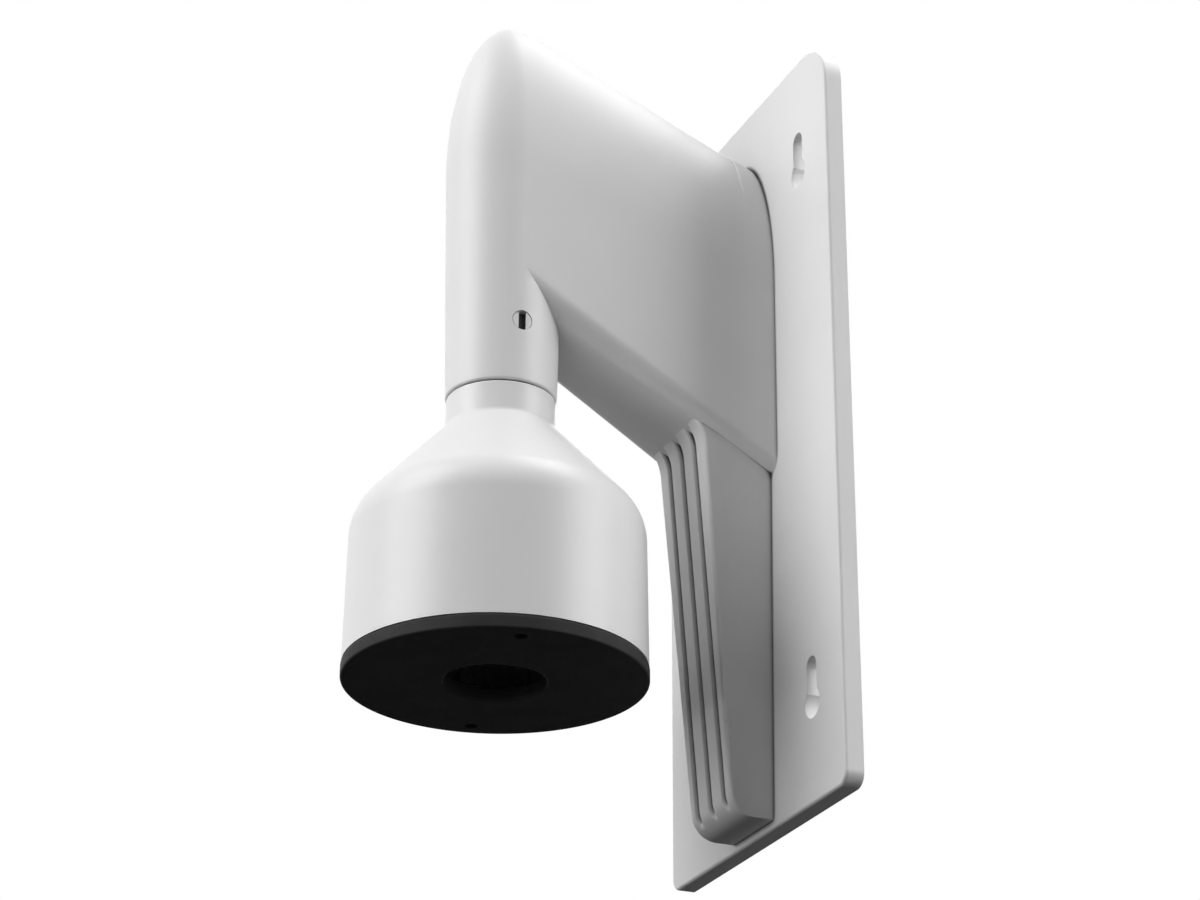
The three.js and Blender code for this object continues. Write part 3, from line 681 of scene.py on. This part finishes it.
SHOULDER_END = CAP_HEIGHT - COLLAR_HEIGHT
COLLAR_RADIUS = side_at(REACH, NECK_END) - COLLAR_STEP
CAP_BORE = NECK_BORE


def cap_shell():
    top = CAP_RADIUS - CAP_DRAFT
    outer = rounded([
        (CAP_RADIUS, 0.0, 0),
        (top, CAP_WALL_HEIGHT, CAP_SHOULDER),
        (COLLAR_RADIUS, SHOULDER_END, COLLAR_FILLET),
        (COLLAR_RADIUS, CAP_HEIGHT, COLLAR_EDGE),
        (CAP_BORE, CAP_HEIGHT, 0),
    ], CAP_STEPS)
    inner = rounded([
        (CAP_BORE, CAP_HEIGHT, 0),
        (CAP_BORE, SHOULDER_END - CAP_WALL, 0),
        (COLLAR_RADIUS - OVERRUN, SHOULDER_END - 2 * CAP_WALL, 0),
        (top - CAP_WALL, CAP_WALL_HEIGHT - CAP_WALL / 2, CAP_SHOULDER - CAP_WALL),
        (CAP_RADIUS - CAP_WALL, 0.0, 0),
    ], CAP_HOLLOW_STEPS)
    return revolve("pendant_cap_fine", outer + inner[1:], ROUND, closed=True)


def cap_rib(angle):
    """One stiffening rib, down the inside of the wall and up under the collar."""
    wall = CAP_RADIUS - CAP_DRAFT - CAP_WALL / 2
    throat = CAP_BORE + OVERRUN
    outline = [
        (wall, RIB_START),
        (wall - RIB_DEPTH / 2, RIB_START),
        (wall - RIB_DEPTH, RIB_START + RIB_LEAD),
        (wall - RIB_DEPTH, CAP_WALL_HEIGHT - 2 * RIB_DEPTH),
        (COLLAR_RADIUS, SHOULDER_END - 3 * CAP_WALL - RIB_DEPTH),
        (throat, SHOULDER_END - 2 * CAP_WALL),
        (throat, SHOULDER_END - CAP_WALL),
        (COLLAR_RADIUS, SHOULDER_END - CAP_WALL),
        (wall, CAP_WALL_HEIGHT - CAP_WALL),
    ]
    half = RIB_THICKNESS / 2
    sections = [[(x, y, z) for x, z in outline] for y in (-half, half)]
    return placed(loft("rib", sections), (0, 0, 0), Matrix.Rotation(angle, 4, "Z"))


def camera_screw_places():
    turns = (CAMERA_SCREW_ANGLE, CAMERA_SCREW_ANGLE + math.pi)
    return [(CAMERA_SCREW_CIRCLE * math.cos(t), CAMERA_SCREW_CIRCLE * math.sin(t)) for t in turns]


def pendant_cap():
    cap = cap_shell()
    first = CAMERA_SCREW_ANGLE + math.pi / RIB_COUNT
    for k in range(RIB_COUNT):
        join(cap, cap_rib(first + k * TURN / RIB_COUNT))
    for x, y in camera_screw_places():
        join(cap, upright(BOSS_RADIUS, 0.0, BOSS_HEIGHT, x, y))
    for x, y in camera_screw_places():
        depth = INSERT_SINK + INSERT_LENGTH + OVERRUN
        cut(cap, upright(INSERT_RADIUS + SEAT_GAP, -OVERRUN, depth, x, y))
    return placed(cap, (0, -REACH, CAP_BOTTOM))


def camera_gasket():
    thickness = GASKET_THICKNESS
    gasket = ring("camera_gasket_fine", GASKET_HOLE, GASKET_RADIUS, 0.0, thickness, GASKET_EDGE)
    for x, y in camera_screw_places():
        cut(gasket, upright(GASKET_SCREW_HOLE, -OVERRUN, thickness + OVERRUN, x, y))
    return placed(gasket, (0, -REACH, GASKET_BOTTOM))


# ---- Threaded and knurled pieces ----

def turned_field(name, bore, length, rows, columns, radius_of):
    """A tube about the Z axis whose outer radius follows the angle and the height."""
    angles = [TURN * k / columns for k in range(columns)]
    sections = []
    for k in range(rows + 1):
        z = length * k / rows
        radii = [radius_of(a, z) for a in angles]
        sections.append([(r * math.cos(a), r * math.sin(a), z) for r, a in zip(radii, angles)])
    for z in (length, 0.0):
        sections.append([(bore * math.cos(a), bore * math.sin(a), z) for a in angles])
    return loft(name, sections, looped=True)


def thread_of(crest, pitch, depth, length):
    """The radius of a screw thread with a narrow flat crest, turned down at both ends."""
    flank = 1.25

    def radius(angle, z):
        phase = (z / pitch - angle / TURN) % 1.0
        height = min(1.0, flank * (1 - abs(2 * phase - 1)))
        lead = min(1.0, z / pitch, (length - z) / pitch)
        return crest - depth + depth * height * max(0.0, lead)

    return radius


def pipe_nipple():
    length = nipple_high.z - nipple_low.z
    rows = round(length / PIPE_PITCH * THREAD_ROWS)
    radius = thread_of(NIPPLE_RADIUS, PIPE_PITCH, PIPE_THREAD_DEPTH, length)
    nipple = turned_field("pipe_nipple_fine", NIPPLE_BORE, length, rows, PIPE_COLUMNS, radius)
    return placed(nipple, (0, -REACH, nipple_low.z))


def knurled_insert(number, x, y):
    """A brass insert with two bands of diamond knurls and a plain waist between them."""
    def radius(angle, z):
        share = z / INSERT_LENGTH
        if abs(share - 0.5) < INSERT_WAIST:
            return INSERT_RADIUS - 2 * KNURL_DEPTH
        twist = KNURL_COUNT * angle
        lean = KNURL_COUNT * z / INSERT_RADIUS
        diamonds = math.sin(twist + lean) * math.sin(twist - lean)
        ends = min(1.0, KNURL_RISE * share, KNURL_RISE * (1 - share))
        return INSERT_RADIUS - KNURL_DEPTH * (1.5 - diamonds * ends)

    name, rows, columns = f"cap_insert_{number}_fine", KNURL_ROWS, KNURL_COLUMNS
    insert = turned_field(name, INSERT_BORE, INSERT_LENGTH, rows, columns, radius)
    return placed(insert, (x, y - REACH, CAP_BOTTOM + INSERT_SINK))


def set_screw():
    """A headless screw with an upright slot, whose point bears on the nipple."""
    length = set_screw_high.x - set_screw_low.x
    radius = SET_SCREW_RADIUS
    end = arc((radius - SCREW_EDGE, length - SCREW_EDGE), SCREW_EDGE, 0, QUARTER, 4)
    point = [(0.0, 0.0), (radius - SCREW_POINT, 0.0), (radius, SCREW_POINT)]
    profile = [*point, *end, (0.0, length)]
    screw = revolve("neck_set_screw_fine", profile, SMALL_ROUND)
    half, wide = SCREW_SLOT / 2, 2 * radius
    floor = length - SCREW_SLOT_DEPTH
    outline = [(-half, floor), (half, floor), (half, length + OVERRUN), (-half, length + OVERRUN)]
    cut(screw, loft("slot", [[(x, y, z) for y, z in outline] for x in (-wide, wide)]))
    return placed(screw, (set_screw_low.x, -REACH, SET_SCREW_AXIS), Z_TO_X)


def seal_ring():
    low, high = ring_low.z, ring_high.z
    return ring("neck_seal_ring_fine", RING_INNER, RING_OUTER, low, high, RING_EDGE, y=-REACH)


# ---- Pieces behind the plate ----

def wall_gasket():
    """A foam strip that lies inside the plate's rim."""
    outer, inner = STRIP_INSET, STRIP_INSET + STRIP_WIDTH
    profile = ring_profile(outer, inner, 0.0, STRIP_THICKNESS, STRIP_EDGE)
    sections = [at_depth(plate_outline(inset), depth) for inset, depth in profile]
    return loft("wall_gasket_fine", sections, looped=True)


def wire_washer():
    radius = (washer_high.x - washer_low.x) / 2
    thickness = washer_high.y - washer_low.y
    hole = WIRE_SCREW_RADIUS + SEAT_GAP
    washer = ring("safety_wire_washer_fine", hole, radius, 0.0, thickness, WASHER_EDGE, SMALL_ROUND)
    return placed(washer, (0, washer_high.y, POST_HEIGHT), Z_TO_ROOM)


def cross_bar(half):
    """One bar of the cross recess, which tapers to its floor."""
    width = CROSS_HALF_WIDTH
    corners = [(-half, -width), (half, -width), (half, width), (-half, width)]
    tip = [(CROSS_FLOOR_LENGTH * x, CROSS_FLOOR_WIDTH * y) for x, y in corners]
    return loft("cross", [
        [(x, y, -OVERRUN) for x, y in corners],
        [(x, y, 0.0) for x, y in corners],
        [(x, y, CROSS_DEPTH) for x, y in tip],
    ])


def wire_screw():
    """A pan head with a cross recess, and a threaded shank."""
    head_radius = (wire_screw_high.x - wire_screw_low.x) / 2
    length = wire_screw_high.y - wire_screw_low.y
    head = rounded([
        (0.0, 0.0, 0),
        (head_radius, 0.0, WIRE_SCREW_DOME),
        (head_radius, WIRE_SCREW_HEAD, 0),
        (0.0, WIRE_SCREW_HEAD, 0),
    ], 8)
    screw = revolve("safety_wire_screw_fine", head, SMALL_ROUND)
    shank_length = length - WIRE_SCREW_HEAD + SHANK_SINK
    radius = thread_of(WIRE_SCREW_RADIUS, WIRE_SCREW_PITCH, WIRE_THREAD_DEPTH, shank_length)
    rows = round(shank_length / WIRE_SCREW_PITCH * THREAD_ROWS)
    shank = turned_field("shank", 0.0, shank_length, rows, WIRE_COLUMNS, radius)
    join(screw, placed(shank, (0, 0, WIRE_SCREW_HEAD - SHANK_SINK)))
    for turn in (0, QUARTER):
        cut(screw, placed(cross_bar(head_radius / 2), (0, 0, 0), Matrix.Rotation(turn, 4, "Z")))
    return placed(screw, (0, wire_screw_low.y, POST_HEIGHT), Z_TO_WALL)


# ---- Finishes ----

# Painted shade darkens corners tighter than this, up to this far from the wall
CREVICE = 0.004
PAINTED_SHADE_REACH = 0.066
PAINTED_SHADE_FADE = 0.006
CORNER_PAINTED_SHADE = (0.022, 0.022, 0.022)
SHADED_BELOW = 0.46
UNSHADED_ABOVE = 0.66

# The set screw is painted down to the first depth in its slot, and bare from the second on, where
# the bare steel is coloured near-black as painted shade
PAINTED_DEPTH = 0.0003
BARE_SHADED_DEPTH = 0.0008
BARE_STEEL_SHADE_TONE = (0.05, 0.05, 0.05)


def new_material(name, color, roughness, metallic=0.0, specular=0.5):
    material = bpy.data.materials.new(name)
    material.use_nodes = True
    shader = material.node_tree.nodes["Principled BSDF"]
    shader.inputs["Base Color"].default_value = (*color, 1)
    shader.inputs["Roughness"].default_value = roughness
    shader.inputs["Metallic"].default_value = metallic
    shader.inputs["Specular IOR Level"].default_value = specular
    return material, shader


def noise(material, scale, detail=3.0):
    """Noise in the piece's own space, so that it stays put when the piece moves."""
    nodes, links = material.node_tree.nodes, material.node_tree.links
    place = nodes.get("place") or nodes.new("ShaderNodeTexCoord")
    place.name = "place"
    texture = nodes.new("ShaderNodeTexNoise")
    texture.inputs["Scale"].default_value = scale
    texture.inputs["Detail"].default_value = detail
    links.new(place.outputs["Object"], texture.inputs["Vector"])
    return texture.outputs["Fac"]


def ramp(material, source, low, high, socket):
    """Maps noise to a span of values on a socket."""
    links = material.node_tree.links
    node = material.node_tree.nodes.new("ShaderNodeMapRange")
    node.inputs["From Min"].default_value = 0.3
    node.inputs["From Max"].default_value = 0.7
    node.inputs["To Min"].default_value = low
    node.inputs["To Max"].default_value = high
    links.new(source, node.inputs["Value"])
    links.new(node.outputs["Result"], socket)


def tint(material, source, low, high):
    """A colour that runs between two tones along noise."""
    node = material.node_tree.nodes.new("ShaderNodeValToRGB")
    node.color_ramp.elements[0].position = 0.3
    node.color_ramp.elements[0].color = (*low, 1)
    node.color_ramp.elements[1].position = 0.7
    node.color_ramp.elements[1].color = (*high, 1)
    material.node_tree.links.new(source, node.inputs["Fac"])
    return node.outputs["Color"]


def between(material, share, start, end, flat_tone, tone):
    """A flat tone below the start of a share, and another colour above its end."""
    nodes, links = material.node_tree.nodes, material.node_tree.links
    scaled = nodes.new("ShaderNodeMapRange")
    scaled.inputs["From Min"].default_value = start
    scaled.inputs["From Max"].default_value = end
    links.new(share, scaled.inputs["Value"])
    blend = nodes.new("ShaderNodeMix")
    blend.data_type = "RGBA"
    blend.inputs["A"].default_value = (*flat_tone, 1)
    links.new(scaled.outputs["Result"], blend.inputs["Factor"])
    links.new(tone, blend.inputs["B"])
    return blend.outputs["Result"]


def openness(material, depth):
    """Low in the tight corners and grooves of the piece itself, and 1 on open faces."""
    node = material.node_tree.nodes.new("ShaderNodeAmbientOcclusion")
    node.samples = 16
    node.only_local = True
    node.inputs["Distance"].default_value = depth
    return node.outputs["AO"]


def painted_shade_free(material):
    """Low in the tight corners near the wall, where shade is painted, and 1 on open faces and far
    out along the arm.
    """
    nodes, links = material.node_tree.nodes, material.node_tree.links
    place = nodes.new("ShaderNodeSeparateXYZ")
    links.new(nodes["place"].outputs["Object"], place.inputs["Vector"])
    far = nodes.new("ShaderNodeMapRange")
    far.inputs["From Min"].default_value = -PAINTED_SHADE_REACH
    far.inputs["From Max"].default_value = -PAINTED_SHADE_REACH - PAINTED_SHADE_FADE
    links.new(place.outputs["Y"], far.inputs["Value"])
    share = nodes.new("ShaderNodeMath")
    share.operation = "MAXIMUM"
    links.new(openness(material, CREVICE), share.inputs[0])
    links.new(far.outputs["Result"], share.inputs[1])
    return share.outputs["Value"]


def bump(material, shader, layers):
    """Stacks bumps, each a noise with its strength and its depth in metres."""
    links = material.node_tree.links
    last = None
    for source, strength, depth in layers:
        node = material.node_tree.nodes.new("ShaderNodeBump")
        node.inputs["Strength"].default_value = strength
        node.inputs["Distance"].default_value = depth
        links.new(source, node.inputs["Height"])
        if last:
            links.new(last, node.inputs["Normal"])
        last = node.outputs["Normal"]
    links.new(last, shader.inputs["Normal"])


def shades(color, spread):
    """A darker and a lighter tone of a colour."""
    return [tuple(min(1.0, c * share) for c in color) for share in (1 - spread, 1 + spread)]


def powder_coat(name, color, roughness, painted_corner_shade=False):
    """Satin powder coat with orange peel, a fine grain, a slight drift of tone, and painted shade
    in tight corners near the wall.
    """
    material, shader = new_material(name, color, roughness)
    peel = noise(material, 420, 2.0)
    grain = noise(material, 2600, 2.0)
    drift = noise(material, 22, 3.0)
    unshaded_tone = tint(material, drift, *shades(color, 0.018))
    coat = unshaded_tone
    if painted_corner_shade:
        # A near-black tone in tight corners near the wall: painted shade
        coat = between(material, painted_shade_free(material), SHADED_BELOW, UNSHADED_ABOVE, CORNER_PAINTED_SHADE, unshaded_tone)
    material.node_tree.links.new(coat, shader.inputs["Base Color"])
    ramp(material, peel, roughness - 0.05, roughness + 0.06, shader.inputs["Roughness"])
    bump(material, shader, [(peel, 0.35, 0.00006), (grain, 0.25, 0.00002)])
    return material


def screw_paint(name, color, roughness):
    """White paint on the face of the set screw, with bare steel below it in the slot, coloured
    near-black as painted shade.
    """
    material, shader = new_material(name, color, roughness)
    nodes, links = material.node_tree.nodes, material.node_tree.links
    peel = noise(material, 900, 2.0)
    unshaded_tone = tint(material, noise(material, 120, 3.0), *shades(color, 0.03))
    height = nodes.new("ShaderNodeSeparateXYZ")
    links.new(nodes["place"].outputs["Object"], height.inputs["Vector"])
    bare_shaded, painted = set_screw_high.x - BARE_SHADED_DEPTH, set_screw_high.x - PAINTED_DEPTH
    # Near-black below the slot's rim: bare steel with painted shade
    paint = between(material, height.outputs["X"], bare_shaded, painted, BARE_STEEL_SHADE_TONE, unshaded_tone)
    links.new(paint, shader.inputs["Base Color"])
    ramp(material, peel, roughness - 0.05, roughness + 0.08, shader.inputs["Roughness"])
    bump(material, shader, [(peel, 0.3, 0.00004)])
    return material


def black_rubber(name, color):
    """Matt moulded rubber with a fine grain."""
    material, shader = new_material(name, color, 0.6, specular=0.1)
    grain = noise(material, 1800, 3.0)
    drift = noise(material, 60, 3.0)
    tone = tint(material, drift, *shades(color, 0.2))
    material.node_tree.links.new(tone, shader.inputs["Base Color"])
    ramp(material, grain, 0.5, 0.72, shader.inputs["Roughness"])
    bump(material, shader, [(grain, 0.5, 0.00005)])
    return material


def grey_foam(name, color):
    """Closed-cell foam with open cut cells."""
    material, shader = new_material(name, color, 0.95, specular=0.2)
    nodes, links = material.node_tree.nodes, material.node_tree.links
    drift = noise(material, 150, 4.0)
    links.new(tint(material, drift, *shades(color, 0.3)), shader.inputs["Base Color"])
    cells = nodes.new("ShaderNodeTexVoronoi")
    cells.inputs["Scale"].default_value = 1400
    links.new(nodes["place"].outputs["Object"], cells.inputs["Vector"])
    bump(material, shader, [(cells.outputs["Distance"], 0.8, 0.0003), (drift, 0.3, 0.0002)])
    return material


def plated_metal(name, color, roughness, grain_scale):
    """Machined metal with a fine uneven finish."""
    material, shader = new_material(name, color, roughness, metallic=1.0)
    grain = noise(material, grain_scale, 4.0)
    stain = noise(material, 90, 4.0)
    tone = tint(material, stain, *shades(color, 0.12))
    material.node_tree.links.new(tone, shader.inputs["Base Color"])
    ramp(material, grain, roughness - 0.08, roughness + 0.12, shader.inputs["Roughness"])
    bump(material, shader, [(grain, 0.3, 0.00003)])
    return material


# ---- Stage, light and camera ----

FLOOR_HEIGHT = -1.5
FLOOR_HALF = 12.0
FLOOR_TONE = (0.1, 0.1, 0.1)
FLOOR_GLOW = 0.78
FLOOR_REFLECTED = 0.03
WORLD_LIGHT = 0.02


def seen_share(nodes, links, reflected):
    """1 to the camera, a share in reflections, and 0 to the light that the surface hands on."""
    path = nodes.new("ShaderNodeLightPath")
    mirrored = nodes.new("ShaderNodeMath")
    mirrored.operation = "MAXIMUM"
    links.new(path.outputs["Is Glossy Ray"], mirrored.inputs[0])
    links.new(path.outputs["Is Transmission Ray"], mirrored.inputs[1])
    dimmed = nodes.new("ShaderNodeMath")
    dimmed.operation = "MULTIPLY"
    dimmed.inputs[1].default_value = reflected
    links.new(mirrored.outputs["Value"], dimmed.inputs[0])
    share = nodes.new("ShaderNodeMath")
    share.operation = "MAXIMUM"
    links.new(path.outputs["Is Camera Ray"], share.inputs[0])
    links.new(dimmed.outputs["Value"], share.inputs[1])
    return share.outputs["Value"]


def stage_floor():
    """A plain pale floor that takes the shadow and throws little light back up."""
    half = FLOOR_HALF
    corners = [(-half, -half), (half, -half), (half, half), (-half, half)]
    mesh = bpy.data.meshes.new("floor")
    mesh.from_pydata([(x, y, FLOOR_HEIGHT) for x, y in corners], [], [(0, 1, 2, 3)])
    floor = bpy.data.objects.new("floor", mesh)
    bpy.context.scene.collection.objects.link(floor)
    material, shader = new_material("floor_paint", FLOOR_TONE, 0.9, specular=0.0)
    nodes, links = material.node_tree.nodes, material.node_tree.links
    glow = nodes.new("ShaderNodeMath")
    glow.operation = "MULTIPLY"
    glow.inputs[1].default_value = FLOOR_GLOW
    links.new(seen_share(nodes, links, FLOOR_REFLECTED), glow.inputs[0])
    shader.inputs["Emission Color"].default_value = (1, 1, 1, 1)
    links.new(glow.outputs["Value"], shader.inputs["Emission Strength"])
    mesh.materials.append(material)


def white_world():
    """White to the camera and to reflections, dim as a light."""
    world = bpy.data.worlds.new("studio")
    bpy.context.scene.world = world
    world.use_nodes = True
    nodes, links = world.node_tree.nodes, world.node_tree.links
    background = nodes["Background"]
    background.inputs["Color"].default_value = (1, 1, 1, 1)
    strength = nodes.new("ShaderNodeMapRange")
    strength.inputs["To Min"].default_value = WORLD_LIGHT
    strength.inputs["To Max"].default_value = 1.0
    links.new(seen_share(nodes, links, 1.0), strength.inputs["Value"])
    links.new(strength.outputs["Result"], background.inputs["Strength"])


SOFTBOX_SIZE = 1.0
SOFTBOX_TARGET = Vector((0.0, -0.07, 0.02))
# The name, the place and the power in watts of each
SOFTBOXES = [
    ("front_softbox", (0.0, -1.2, 1.1), 12),
    ("low_front_softbox", (0.0, -1.5, 0.3), 10),
    ("foot_softbox", (0.3, -1.4, -0.1), 2.5),
    ("side_softbox", (1.0, 1.1, 0.55), 14),
    ("low_side_softbox", (1.1, 0.9, -0.1), 4),
    ("top_softbox", (0.2, 0.6, 1.5), 13),
    ("left_softbox", (-1.1, 0.9, 0.6), 7),
]


def softbox(name, place, power):
    light = bpy.data.lights.new(name, "AREA")
    light.size = SOFTBOX_SIZE
    light.energy = power
    lamp = bpy.data.objects.new(name, light)
    lamp.location = place
    lamp.rotation_euler = (SOFTBOX_TARGET - Vector(place)).to_track_quat("-Z", "Y").to_euler()
    bpy.context.scene.collection.objects.link(lamp)


LENS = 89.32
CAMERA_PLACE = Vector((0.89814, -0.43794, -0.45191))
CAMERA_AZIMUTH = math.radians(67.484)
CAMERA_PITCH = math.radians(24.669)
CAMERA_ROLL = math.radians(0.298)
CAMERA_RANGE = 30


def add_camera():
    azimuth, pitch = CAMERA_AZIMUTH, CAMERA_PITCH
    level = Vector((math.cos(azimuth), math.sin(azimuth), 0))
    ahead = Vector((
        -math.sin(azimuth) * math.cos(pitch),
        math.cos(azimuth) * math.cos(pitch),
        math.sin(pitch),
    ))
    up = level.cross(ahead)
    right = math.cos(CAMERA_ROLL) * level + math.sin(CAMERA_ROLL) * up
    over = -math.sin(CAMERA_ROLL) * level + math.cos(CAMERA_ROLL) * up
    turned = Matrix((right, over, -ahead)).transposed().to_4x4()
    camera = bpy.data.objects.new("camera", bpy.data.cameras.new("camera"))
    camera.data.lens = LENS
    camera.data.clip_end = CAMERA_RANGE
    camera.matrix_world = Matrix.Translation(CAMERA_PLACE) @ turned
    bpy.context.scene.collection.objects.link(camera)
    bpy.context.scene.camera = camera


# ---- The scene ----

bpy.context.scene.view_settings.view_transform = "Standard"
add_camera()
for name, place, power in SOFTBOXES:
    softbox(name, place, power)
white_world()
stage_floor()

# The bracket's paint carries painted shade in its tight corners near the wall
white_paint = powder_coat("white_paint", (0.80, 0.80, 0.80), 0.42, painted_corner_shade=True)
white_cap_paint = powder_coat("white_cap_paint", (0.82, 0.82, 0.82), 0.36)
rubber = black_rubber("black_rubber", (0.035, 0.035, 0.035))
foam = grey_foam("grey_foam", (0.05, 0.05, 0.05))
painted = screw_paint("screw_paint", (0.78, 0.78, 0.78), 0.42)
zinc = plated_metal("zinc_steel", (0.62, 0.63, 0.64), 0.35, 1500)
brass = plated_metal("insert_brass", (0.60, 0.44, 0.19), 0.32, 1500)

dressed(bracket_casting(), white_paint, "bracket_casting", "bracket")
dressed(wall_gasket(), foam, "wall_gasket", "bracket")
dressed(pipe_nipple(), zinc, "pipe_nipple", "bracket")
dressed(wire_washer(), zinc, "safety_wire_washer", "bracket")
dressed(wire_screw(), zinc, "safety_wire_screw", "bracket")
dressed(set_screw(), painted, "neck_set_screw", "set_screw")
dressed(seal_ring(), rubber, "neck_seal_ring", "seal")
dressed(pendant_cap(), white_cap_paint, "pendant_cap", "cap")
dressed(camera_gasket(), rubber, "camera_gasket", "cap")
for number, (x, y) in enumerate(camera_screw_places(), 1):
    dressed(knurled_insert(number, x, y), brass, f"cap_insert_{number}", "cap")
